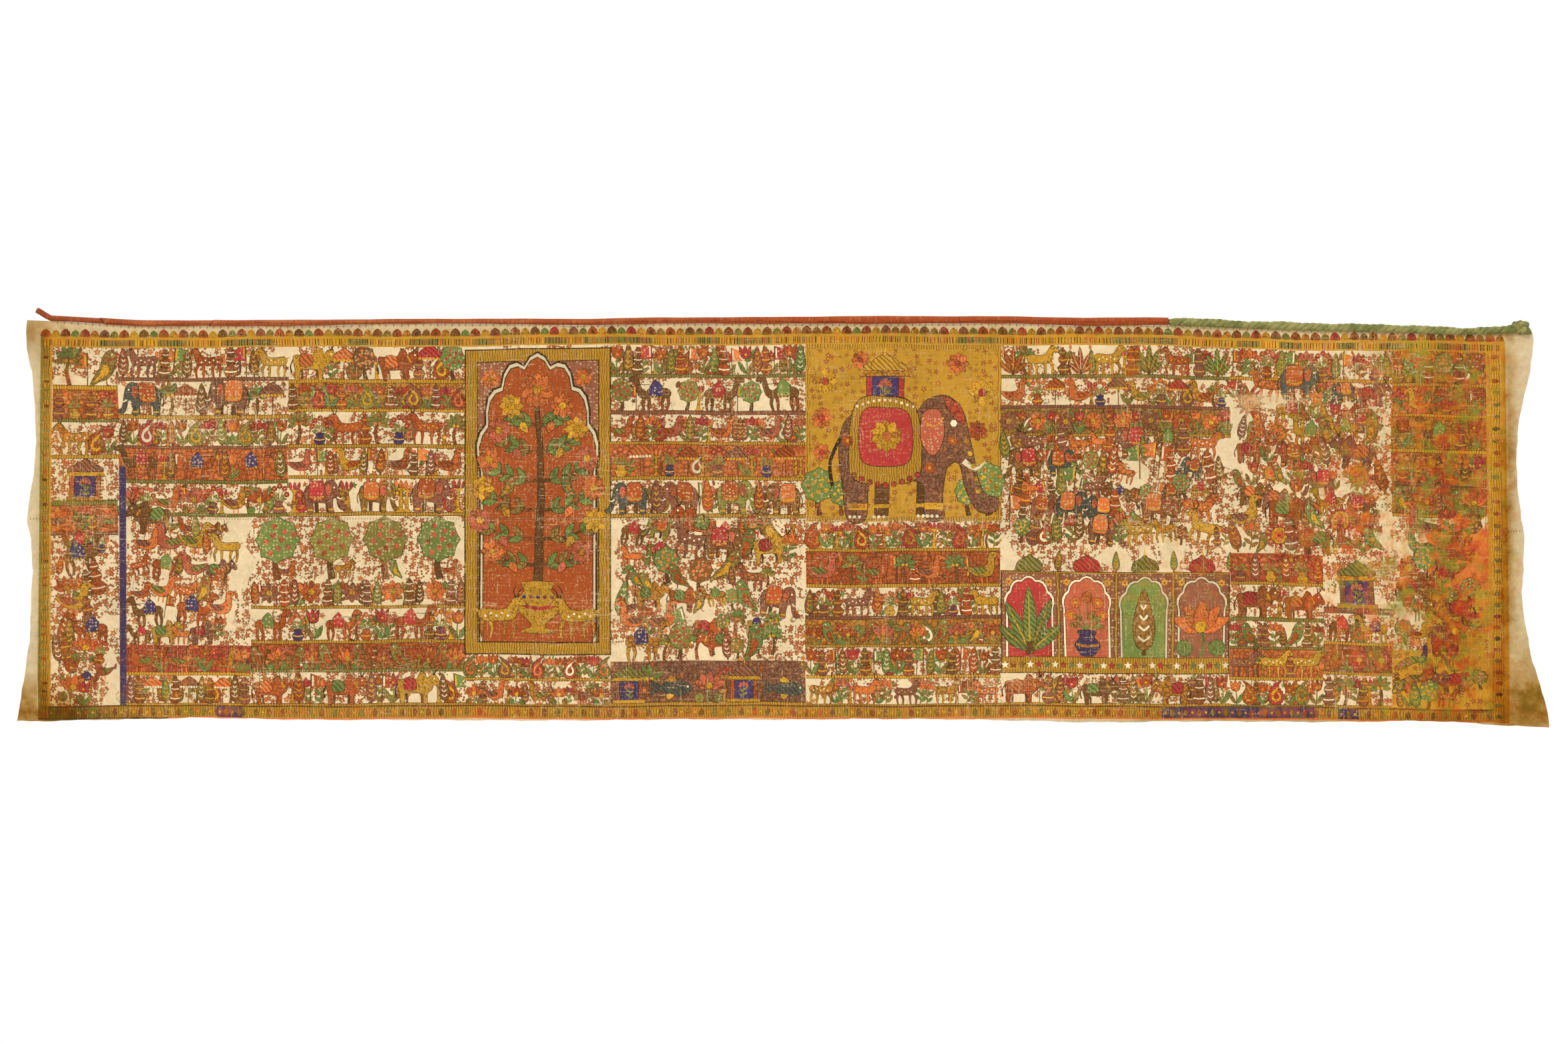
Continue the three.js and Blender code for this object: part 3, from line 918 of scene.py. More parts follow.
block(-1030, -560, -1090, [(84, PLAIN, "sprig tulip paisley"), (84, PLAIN, "goose lotus")])
block(-560, 70, FIELD_TOP, [
    (104, PLAIN, "cypress urns pennant tulip"), (118, PLAIN, "camel tree"),
    (96, PLAIN, "sprig goose cypress"), (112, "orange", "vase parasol lamp"),
    (120, PLAIN, "elephant cypress"),
])
strewn(-560, 70, -1110, FIELD_TOP - 550, 108,
       "bull deer camel cypress sprig parrot goose tree pennant palm elephant")
block(-560, 70, -1110, [(149, "slate", "fish lotus pavilion")])
slab(70, 700, -659, -99, "ochre", 4)
slab(84, 686, -645, -113, "ochre", 9)
for x, z, size in ((135, -215, 84), (250, -150, 60), (560, -160, 74), (640, -250, 88),
                   (628, -370, 66), (120, -330, 70), (118, -440, 56)):
    flower(Pen(x, z, size), 8, hand.choice(("brick", "orange", "yellow")), "crimson")
for x, size in ((112, 150), (186, 110), (592, 120), (655, 170)):
    tree(Pen(x, -640, size), "green", "yellow")
block(70, 700, FIELD_TOP - 560, [
    (98, PLAIN, "paisley tulip lamp sprig"), (116, "brick", "goose palm"),
    (102, PLAIN, "cypress vase urns deer"), (90, "ochre", "parrot lotus"),
    (100, PLAIN, "tulip urns pennant cypress"), (93, PLAIN, "deer sprig"),
])
block(700, 1440, FIELD_TOP, [
    (104, PLAIN, "plantain deer urns"), (96, PLAIN, "vase parasol goose"),
    (88, "olive", "rosette tulip"),
])
strewn(700, 1440, -735, -387, 102, "elephant cypress pennant camel tree sprig paisley deer urns")
arcade(700, 1440, -1150, -735, [
    (plantain, "crimson", "green", "yellow"), (vase, "rose", "indigo", "orange"),
    (cypress, "green", "olive", "chalk"), (lotus, "mauve", "orange", "green"),
])
block(700, 1440, -1150, [(108, PLAIN, "bull urns cypress tulip")])
block(1440, 1960, FIELD_TOP, [(102, PLAIN, "cypress pennant sprig vase")])
strewn(1440, 1960, -755, -201, 104,
       "elephant urns bull camel goose sun cypress sprig tulip deer parrot")
block(1440, 1740, FIELD_TOP - 656, [
    (104, "crimson", "vase cypress"), (118, PLAIN, "bull"), (92, PLAIN, "urns sprig parrot"),
    (100, "orange", "deer"), (89, PLAIN, "tulip paisley"),
])
block(1740, 1960, FIELD_TOP - 656, [
    (190, PLAIN, "pavilion"), (104, PLAIN, "camel"), (98, "mauve", "rosette"),
    (111, PLAIN, "palm urns"),
])
block(1960, 2265, FIELD_TOP, [
    (112, "ochre", "tree urns"), (96, "orange", "goose sprig"), (112, "ochre", "camel tulip"),
    (104, "orange", "vase cypress tulip"), (98, "olive", "parrot lotus"),
])
slab(2070, 2265, -850, -640, "orange", 9)
slab(2070, 2265, -1070, -850, "ochre", 9)
slab(1960, 2265, FIELD_FOOT, -1060, "ochre", 9)
strewn(1960, 2265, FIELD_FOOT, -621, 104,
       "peacock urns tree deer bull cypress rosette sprig goose tulip")
slab(-2148, -2126, FIELD_FOOT, -484, "umber")
slab(-2146, -2128, FIELD_FOOT, -486, "indigo")
great_elephant(Pen(372, -650, 395))


# ---- the borders --------------------------------------------------------------------------
BORDER_LEFT, BORDER_RIGHT = -2398, 2327
BUD_PITCH = 31.5


def flowered_band(left, right, foot, top, ground):
    """A band of small upright leaves with a dot between each two."""
    slab(left, right, foot, top, ground, 4)
    high = top - foot
    count = max(round((right - left) / (0.62 * high)), 1)
    for i in range(count):
        x = left + (i + 0.5) * (right - left) / count
        if i % 2:
            leaf(Pen(x, foot + 0.12 * high, high), 0.76, 0.42, hand.choice(
                ("brick", "olive", "brown", "mauve")), 0.9)
        else:
            Pen(x, foot + 0.5 * high, high).disc(0, 0, 0.13, hand.choice(("yellow", "orange")), 6)


def upright_band(left, right, foot, top, ground):
    """The same work up the side of the field, its leaves lying across the band."""
    slab(left, right, foot, top, ground, 4)
    wide = right - left
    count = round((top - foot) / (1.1 * wide))
    for i in range(count):
        z = foot + (i + 0.5) * (top - foot) / count
        leaf(Pen(left + 0.12 * wide, z, wide, 1, -math.pi / 2), 0.76, 0.42,
             hand.choice(("umber", "brick", "olive", "olive")), 0.5)


slab(BORDER_LEFT, BORDER_RIGHT, -64, -16, "ground")
slab(BORDER_LEFT, BORDER_RIGHT, -99, -94, "ochre")
x = BORDER_LEFT
while x < BORDER_RIGHT - 20:
    width = hand.uniform(50, 120)
    end = min(x + width, BORDER_RIGHT)
    slab(x, end, -94, -74, hand.choice(("ochre", "olive", "yellow", "ochre", "olive")))
    bar = x + hand.uniform(3, 7)
    while bar < end - 4:
        slab(bar, bar + hand.uniform(2.2, 4), -94, -74, hand.choice(("black", "umber", "brick")))
        bar += hand.uniform(5, 12)
    x = end
slab(BORDER_LEFT, BORDER_RIGHT, -74, -63, "ochre", 5)
BUD_COLOURS = ("brick", "yellow", "brown", "green", "crimson", "ochre", "mauve", "olive")
for i in range(int((BORDER_RIGHT - BORDER_LEFT) / BUD_PITCH)):
    between_two = i % 2
    pen = Pen(BORDER_LEFT + (i + 0.5) * BUD_PITCH, -64, 20 if between_two else 23)
    pen.shape(mirrored([(0.60, 0), (0.64, 0.30), (0.50, 0.66), (0.22, 0.90), (0, 1.0)]),
              BUD_COLOURS[i % 8], line=0.4 if between_two else 1.1)
    if not between_two:
        pen.shape(mirrored([(0.24, 0.08), (0.22, 0.34), (0, 0.56)]), "umber", line=0)
slab(BORDER_LEFT, -2390, -1297, -63, "olive")
upright_band(-2390, -2366, -1297, -94, "ochre")
slab(-2366, -2360, -1258, -94, "ochre")
slab(2265, 2278, -1258, -94, "ochre")
upright_band(2278, 2312, -1297, -94, "yellow")
slab(2312, BORDER_RIGHT, -1297, -63, "yellow")
slab(-2366, 2278, -1258, -1253, "umber")
flowered_band(-2366, 2278, -1292, -1258, "ochre")
flowered_band(-2366, -2180, -1292, -1258, "olive")
for left, right in ((-1829, -1747), (1220, 1715), (1790, 1854)):
    flowered_band(left, right, -1292, -1258, "indigo")
slab(BORDER_LEFT, -1990, -1297, -1292, "umber")
slab(-1990, BORDER_RIGHT, -1297, -1292, "orange")



# ---- from the painting to the cloth ------------------------------------------------------
def as_drawn(points):
    """Where the plan of the painting lands: the hand wavers, and the rows sink with the
    cloth towards its right end."""
    x, z = points.T
    share = np.clip((x - NOMINAL_LEFT) / LENGTH, 0, 1)
    down = np.clip(-z, 0, DROP)
    sunk = np.interp(down / DROP, (0, 0.5, 1), (0, 1, 0)) * (level_at(share, SEAM) - 650)
    sunk += np.clip(1 - down / 650, 0, 1) * np.interp(
        x, (-2200, -1420, -690, 470, 1110, 1760, 2200), (-1, -3, -10, -13, -10, 8, 11))
    sunk += np.clip(down / 650 - 1, 0, 1) * 12 * np.clip((x - 1300) / 1000, 0, 1)
    across = 2.2 * np.sin(z / 71 + x / 190) + 1.4 * np.sin(z / 29 - x / 83)
    across += np.where(x > 0, 14, -8) * np.clip((np.abs(x) - 2200) / 60, 0, 1) * (down / DROP)
    waver = 1.8 * np.sin(x / 143 + z / 310) + 1.1 * np.sin(x / 47 - z / 130)
    return np.stack([x + across, z - sunk + waver], -1)


def plainer(outline, slack=0.42):
    """An outline without the points that hardly bend it."""
    points = outline.tolist()
    kept = [points[0]]
    for point, after in zip(points[1:], points[2:] + points[:1]):
        (ax, az), (px, pz), (bx, bz) = kept[-1], point, after
        off = abs((bx - ax) * (pz - az) - (bz - az) * (px - ax))
        if off > slack * math.hypot(bx - ax, bz - az):
            kept.append(point)
    return np.array(kept) if len(kept) > 2 else outline


outlines = [plainer(as_drawn(np.array(outline))) for outline, _, _ in painted]


def topmost(points):
    """For each point the last painted shape that covers it, or -1 on bare cloth."""
    order = np.argsort(points[:, 0])
    xs, zs = points[order].T
    found = np.full(len(points), -1)
    for index, outline in enumerate(outlines):
        (x0, z0), (x1, z1) = outline.min(0), outline.max(0)
        first, last = np.searchsorted(xs, (x0, x1))
        near = first + np.flatnonzero((zs[first:last] > z0) & (zs[first:last] < z1))
        if not len(near):
            continue
        x, z = xs[near], zs[near]
        (ax, az), (bx, bz) = outline.T, np.roll(outline, -1, 0).T
        rise = np.where(bz == az, 1e-9, bz - az)
        crosses = (az[:, None] > z) != (bz[:, None] > z)
        at = ax[:, None] + (z - az[:, None]) * ((bx - ax) / rise)[:, None]
        inside = (crosses & (x < at)).sum(0) % 2 == 1
        found[near[inside]] = index
    unsorted = np.empty_like(found)
    unsorted[order] = found
    return unsorted


def outline_sides():
    """The ends of all outlines' sides, without the sides that later paint hides."""
    ends = np.concatenate(outlines)
    count = [len(outline) for outline in outlines]
    owner = np.repeat(np.arange(len(outlines)), count)
    following = np.arange(len(ends)) + 1
    following[np.cumsum(count) - 1] = np.cumsum([0, *count[:-1]])
    above = topmost(ends)
    above_middle = topmost((ends + ends[following]) / 2)
    hidden = (above > owner) & (above_middle > owner) & (above[following] > owner)
    return ends, np.stack([np.arange(len(ends)), following], -1)[~hidden]


def triangulated(points, sides):
    """Triangles over the points with every side kept; counter-clockwise, x by z."""
    ends, _, corners, sources, _, _ = delaunay_2d_cdt(
        [tuple(p) for p in points.tolist()], [tuple(s) for s in sides.tolist()], [], 0, 0.02)
    return np.array(ends), np.array(corners), sources


def within(points, rim):
    """Which points lie inside a closed line."""
    (ax, az), (bx, bz) = rim.T, np.roll(rim, -1, 0).T
    rise = np.where(bz == az, 1e-9, bz - az)
    inside = np.zeros(len(points), bool)
    for i in range(len(rim)):
        crosses = (az[i] > points[:, 1]) != (bz[i] > points[:, 1])
        at = ax[i] + (points[:, 1] - az[i]) * (bx[i] - ax[i]) / rise[i]
        inside ^= crosses & (points[:, 0] < at)
    return inside


def sides_of_triangles(corners):
    """Every side of the triangles, as sorted ends, with the triangle it belongs to."""
    pairs = np.concatenate([corners[:, [0, 1]], corners[:, [1, 2]], corners[:, [2, 0]]])
    return pairs, np.tile(np.arange(len(corners)), 3)


def colour_borders(corners, shape):
    """The sides at which two triangles of different shapes meet."""
    pairs, owner = sides_of_triangles(corners)
    pairs = np.sort(pairs, 1)
    order = np.lexsort(pairs.T)
    pairs, owner = pairs[order], owner[order]
    twin = (pairs[:-1] == pairs[1:]).all(1)
    differ = shape[owner[:-1]] != shape[owner[1:]]
    return pairs[:-1][twin & differ]


def used_only(points, sides):
    used, sides = np.unique(sides, return_inverse=True)
    return points[used], sides.reshape(-1, 2)


def in_strip(points, sides, lowest, highest):
    z = points[sides, 1]
    return sides[(z.max(1) > lowest) & (z.min(1) < highest)]


# ---- stains, rubbing and creases ----------------------------------------------------------
STAINS = [                 # middle x and z, half width, half height, how strong
    (2334, -600, 32, 700, 1.0), (2420, -1230, 190, 200, 1.0), (2140, -1000, 200, 420, 0.5),
    (2140, -300, 170, 460, 0.45), (-2450, -1300, 170, 140, 1.0), (-2430, -1290, 150, 90, 1.0),
    (-2180, -1300, 330, 40, 0.6),
    (-2420, -60, 120, 110, 0.6), (-2392, -700, 22, 560, 0.5), (-600, -1310, 900, 30, 0.35),
    (1500, -1310, 900, 45, 0.6), (0, -40, 5000, 24, 0.5),
    (-1300, -900, 260, 200, 0.14), (980, -480, 300, 220, 0.16),
]
BLED = [                   # where damp has made the colours run and glow
    (2180, -640, 150, 900, 1.0), (2040, -900, 190, 360, 0.85), (2030, -240, 150, 240, 0.7),
    (1800, -640, 190, 520, 0.5),
    (-2330, -640, 60, 700, 0.4), (1300, -820, 300, 160, 0.35), (1000, -180, 420, 60, 0.3),
    (-1900, -1180, 260, 90, 0.3), (0, -60, 5000, 14, 0.4), (0, -1276, 5000, 20, 0.4),
]
RUBS = [                   # where the paint is worn pale: x, z, half width, half height, how much
    (1564, -269, 120, 20, 0.8), (1480, -300, 60, 60, 0.35), (-1900, -330, 160, 90, 0.30),
    (-700, -655, 1700, 7, 0.35), (1100, -660, 700, 7, 0.25), (-1276, -560, 6, 420, 0.5),
    (-1156, -700, 5, 380, 0.4), (844, -640, 6, 520, 0.5), (-1980, -700, 5, 420, 0.35),
    (330, -900, 5, 300, 0.35), (-300, -950, 320, 60, 0.22), (1990, -760, 110, 150, 0.30),
    (-2240, -560, 80, 260, 0.22), (600, -1180, 420, 30, 0.22), (-1500, -1150, 300, 40, 0.2),
]
CREASES = [                # x at its top, top z, x at its foot, foot z, half width, how proud
    (-1276, -90, -1268, -1120, 7, 1.5), (-1156, -260, -1148, -1240, 6, -1.2),
    (844, -80, 852, -1250, 7, 1.6), (1990, -120, 2004, -900, 7, -1.4),
    (-1990, -130, -1975, -1240, 6, 1.1), (330, -560, 338, -1230, 6, -1.0),
    (-330, -100, -322, -620, 6, 1.0), (1520, -680, 1512, -1290, 7, 1.2),
    (-1930, -80, -1650, -330, 9, 1.6), (2180, -90, 2060, -420, 9, -1.6),
    (-2330, -60, -2210, -240, 9, 1.4),
]
GATHERS = 46               # small puckers where the cloth is sewn to its heading


def patches(table, points):
    """How strongly each point lies in the soft oval patches of a table, from 0 to 1."""
    x, z = points.T
    total = np.zeros(len(points))
    for at_x, at_z, half, tall, much in table:
        away = ((x - at_x) / half) ** 2 + ((z - at_z) / tall) ** 2
        total = 1 - (1 - total) * (1 - much * np.exp(-away))
    return total


gathers = random.Random(7)
for i in range(GATHERS):
    x = NOMINAL_LEFT + (i + gathers.uniform(0.2, 0.8)) * LENGTH / GATHERS
    length = gathers.uniform(50, 170)
    CREASES.append((x, 0, x + gathers.uniform(-14, 14), -40 - length,
                    gathers.uniform(8, 15), gathers.uniform(0.7, 1.8) * gathers.choice((-1, 1))))


def relief(points):
    """How far the face stands proud of the soft swells, at creases and along the seam."""
    x, z = points.T
    proud = 0.9 * np.exp(-((z + level_at((x - NOMINAL_LEFT) / LENGTH, SEAM) + 5) / 5) ** 2)
    for x0, z0, x1, z1, half, height in CREASES:
        fall = (z - z0) / (z1 - z0)
        shown = np.clip(np.minimum(fall, 1 - fall) * 4 + 0.1, 0, 1) * (fall > 0) * (fall < 1)
        wander = 3 * np.sin(z / 83 + x0)
        offset = (x - x0 - (x1 - x0) * fall - wander) / half
        proud = proud + height * shown * np.exp(-offset ** 2)
    return proud


GRID = 25                  # plain points between the painted lines, this far apart
BACK_GRID = 19
RIM_STEP = 25
BUTTED = 0.08              # the selvedges are drawn together by the seam's thread


def rim_of(upper, lower, upper_gap, lower_gap):
    """The outline of one loom width, its selvedges a little uneven."""
    sides_down = np.arange(0, 1, RIM_STEP / 640)
    steps = np.arange(0, 1, RIM_STEP / LENGTH)
    top = cloth_place(steps, level_at(steps, upper) + upper_gap)
    foot = cloth_place(1 - steps, level_at(1 - steps, lower) - lower_gap)
    left_from, left_to = level_at(0, lower) - lower_gap, level_at(0, upper) + upper_gap
    right_from, right_to = level_at(1, upper) + upper_gap, level_at(1, lower) - lower_gap
    left = cloth_place(0, left_from + (left_to - left_from) * sides_down)
    right = cloth_place(1, right_from + (right_to - right_from) * sides_down)
    for edge in (left, right):
        edge[1:, 0] += 1.1 * np.sin(edge[1:, 1] / 17) + 0.8 * np.sin(edge[1:, 1] / 7.3)
    if lower == HEM:
        foot[1:, 1] += 1.2 * np.sin(foot[1:, 0] / 31) + 0.8 * np.sin(foot[1:, 0] / 11)
    # counter-clockwise with x to the right and z up: foot, right edge, top, left edge
    return np.concatenate([foot[::-1], right[::-1], top[::-1], left[::-1]])


def grid_within(rim, step):
    (x0, z0), (x1, z1) = rim.min(0), rim.max(0)
    xs, zs = np.meshgrid(np.arange(x0, x1, step), np.arange(z0, z1, step))
    xs = xs + (np.arange(xs.shape[0]) % 2)[:, None] * step / 2
    points = np.stack([xs.ravel(), zs.ravel()], -1)
    shrunk = rim.mean(0) + (rim - rim.mean(0)) * (1 - np.array([6 / 2400, 6 / 325]))
    return points[within(points, shrunk)]


def closed_line(points):
    return np.stack([np.arange(len(points)), np.roll(np.arange(len(points)), -1)], -1)


def joined_input(*parts):
    """Several sets of points and sides as one."""
    shift = np.cumsum([0] + [len(points) for points, _ in parts])
    return (np.concatenate([points for points, _ in parts]),
            np.concatenate([sides + at for (_, sides), at in zip(parts, shift)]))


NO_SIDES = np.zeros((0, 2), int)
paints = np.array([[*rgb, hatch / 10] for _, rgb, hatch in painted] + [[0, 0, 0, 0]])
COTTON = np.array(srgb("#D6C29B"))


def face_colours(shape):
    colours = paints[shape].copy()
    colours[shape < 0, :3] = COTTON
    colours[:, :3] = to_linear(colours[:, :3])
    return colours


def back_colours(points):
    """The painting seen faintly from behind, blurred by the cloth."""
    total = np.zeros((len(points), 3))
    spots = [(math.cos(2.4 * i) * 3.5 * math.sqrt(i), math.sin(2.4 * i) * 3.5 * math.sqrt(i))
             for i in range(7)]
    for spot in spots:
        total += face_colours(topmost(points + spot))[:, :3] / len(spots)
    bare = to_linear(COTTON * 0.93)
    return np.concatenate([bare * 0.62 + total * 0.38, np.zeros((len(points), 1))], 1)


BAKE_ROWS = 3              # the face is laid out in this many rows, so that it bakes sharply
ROW_EDGE = 40


def bake_layout(points, corners, rows, foot, top):
    """A layout of level rows one below another: each triangle's corners in the unit square."""
    x0, x1 = points[:, 0].min(), points[:, 0].max()
    z0, z1 = points[:, 1].min(), points[:, 1].max()
    width = (x1 - x0) / rows
    row = np.clip((points[corners, 0].mean(1) - x0) // width, 0, rows - 1)[:, None]
    u = (points[corners, 0] - x0 - row * width + ROW_EDGE) / (width + 2 * ROW_EDGE)
    v = (points[corners, 1] - z0 + 6) / (z1 - z0 + 12)
    return np.stack([u, foot + (top - foot) * (row + v) / rows], -1)


def loom_width(name, rim):
    """One width of cloth: its painted face, its plain back, and its edges."""
    lowest, highest = rim[:, 1].min() - 3, rim[:, 1].max() + 3
    points, corners, _ = triangulated(*joined_input(
        used_only(line_ends, in_strip(line_ends, line_sides, lowest, highest)),
        (rim, closed_line(rim))))
    borders = colour_borders(corners, topmost(points[corners].mean(1)))
    plain = grid_within(rim, GRID)
    face, corners, _ = triangulated(*joined_input(
        used_only(points, borders), (rim, closed_line(rim)), (plain, NO_SIDES)))
    corners = corners[within(face[corners].mean(1), rim)]
    used, corners = np.unique(corners, return_inverse=True)
    face, corners = face[used], corners.reshape(-1, 3)
    colours = face_colours(topmost(face[corners].mean(1)))

    pairs, _ = sides_of_triangles(corners)
    known = {tuple(pair) for pair in pairs.tolist()}
    edge = np.array([pair for pair in pairs.tolist() if (pair[1], pair[0]) not in known])
    edge_points, edge_sides = used_only(face, edge)
    edge_ids = np.unique(edge)
    back, back_corners, sources = triangulated(*joined_input(
        (edge_points, edge_sides), (grid_within(rim, BACK_GRID), NO_SIDES)))
    back_corners = back_corners[within(back[back_corners].mean(1), rim)]
    twin = {source: at for at, merged in enumerate(sources) for source in merged}
    behind = {edge_ids[source]: len(face) + twin[source] for source in range(len(edge_ids))}

    half = CLOTH_THICKNESS / 2
    front_y = depth_at(face[:, 0], -face[:, 1]) - half - relief(face)
    back_y = depth_at(back[:, 0], -back[:, 1]) + half - relief(back)
    both = np.concatenate([np.stack([face[:, 0], front_y, face[:, 1]], -1),
                           np.stack([back[:, 0], back_y, back[:, 1]], -1)]) / 1000
    reversed_back = back_corners[:, ::-1] + len(face)
    strips = np.array([quad for a, b in edge.tolist() for quad in (
        (a, behind[a], behind[b]), (a, behind[b], b))])
    triangles = np.concatenate([corners, reversed_back, strips])

    mesh = bpy.data.meshes.new(name)
    mesh.vertices.add(len(both))
    mesh.vertices.foreach_set("co", both.ravel())
    mesh.loops.add(triangles.size)
    mesh.loops.foreach_set("vertex_index", triangles.ravel())
    mesh.polygons.add(len(triangles))
    mesh.polygons.foreach_set("loop_start", np.arange(0, triangles.size, 3))
    mesh.update(calc_edges=True)

    faded = back_colours(back)
    rim_colour = np.tile([*to_linear(COTTON * 0.8), 0], (strips.size, 1))
    corner_colours = np.concatenate([
        np.repeat(colours, 3, 0), faded[back_corners[:, ::-1].ravel()], rim_colour])
    paint = mesh.attributes.new("paint", "FLOAT_COLOR", "CORNER")
    paint.data.foreach_set("color", corner_colours.ravel())
    flat_points = np.concatenate([face, back])
    for label, table in (("stain", STAINS), ("bled", BLED), ("rubbed", RUBS)):
        measure = mesh.attributes.new(label, "FLOAT", "POINT")
        measure.data.foreach_set("value", patches(table, flat_points))
    layout = mesh.uv_layers.new(name="OFBake")
    uv = np.concatenate([
        bake_layout(face, corners, BAKE_ROWS, 0.20, 0.995).reshape(-1, 2),
        bake_layout(back, back_corners[:, ::-1], 1, 0.012, 0.17).reshape(-1, 2),
        np.stack([np.tile([0.004, 0.996, 0.996, 0.004, 0.996, 0.004], len(strips) // 2),
                  np.tile([0.002, 0.002, 0.005, 0.002, 0.005, 0.005], len(strips) // 2)], -1)])
    layout.data.foreach_set("uv", uv.ravel())
    mesh.validate()
    width = bpy.data.objects.new(name, mesh)
    bpy.context.collection.objects.link(width)
    bpy.ops.object.select_all(action="DESELECT")
    width.select_set(True)
    bpy.context.view_layer.objects.active = width
    bpy.ops.object.shade_smooth_by_angle(angle=math.radians(55))
    print(name, "triangles", len(triangles), "face", len(corners))
    return width


line_ends, line_sides = outline_sides()
upper_width = loom_width("painted_width_upper", rim_of(TOP, SEAM, 0, BUTTED / 2))
lower_width = loom_width("painted_width_lower", rim_of(SEAM, HEM, BUTTED / 2, 0))


def ramped(tree, value, low_end, high_end, most=1.0):
    """A value spread so that it rises from 0 to the most between two levels."""
    return add_node(tree, "MapRange", {"Value": value, "From Min": low_end, "From Max": high_end,
                                       "To Max": most},
                    interpolation_type="SMOOTHSTEP").outputs["Result"]


def maths(tree, operation, first, second=0.0):
    return add_node(tree, "Math", {0: first, 1: second}, operation=operation).outputs[0]


def mixed(tree, share, first, second, blend="MIX"):
    """Two colours mixed; a plain colour is given as six hex figures."""
    mix = tree.nodes.new("ShaderNodeMix")
    mix.data_type, mix.blend_type = "RGBA", blend
    for socket, value in zip((mix.inputs[0], mix.inputs[6], mix.inputs[7]),
                             (share, first, second)):
        if isinstance(value, str):
            socket.default_value = (*linear(value), 1)
        elif isinstance(value, float):
            socket.default_value = value
        else:
            tree.links.new(value, socket)
    return mix.outputs[2]


def stretched_noise(tree, place, scale, size, detail=3.0, rough=0.55):
    """Noise whose features are size metres across, stretched by the three scales."""
    spread = add_node(tree, "Mapping", {"Vector": place, "Scale": scale})
    return add_node(tree, "TexNoise", {
        "Vector": spread.outputs[0], "Scale": 1 / size, "Detail": detail, "Roughness": rough,
    }).outputs["Fac"]


def threads(tree, place, pitch):
    """A plain weave: warp and weft as two sets of ridges, slightly uneven."""
    ridges = []
    for direction in ("X", "Z"):
        ridges.append(add_node(tree, "TexWave", {
            "Vector": place, "Scale": math.tau / (20 * pitch), "Distortion": 1.2,
            "Detail": 1.0, "Detail Scale": 0.6,
        }, wave_type="BANDS", bands_direction=direction).outputs["Fac"])
    return maths(tree, "MULTIPLY", maths(tree, "ADD", *ridges), 0.5)


def matt_cloth(name, roughness, specular):
    """A new material for cloth, with its nodes and its shader."""
    material = bpy.data.materials.new(name)
    material.use_nodes = True
    shader = material.node_tree.nodes["Principled BSDF"]
    shader.inputs["Roughness"].default_value = roughness
    shader.inputs["Specular IOR Level"].default_value = specular
    return material, material.node_tree, shader


def finished(tree, shader, colour, weave, creases, strength):
    """Puts the colour on, and a relief of threads and creases, each with its weight."""
    height = maths(tree, "ADD", maths(tree, "MULTIPLY", *weave), maths(tree, "MULTIPLY", *creases))
    bump = add_node(tree, "Bump", {"Height": height, "Strength": strength, "Distance": 0.001})
    tree.links.new(colour, shader.inputs["Base Color"])
    tree.links.new(bump.outputs[0], shader.inputs["Normal"])


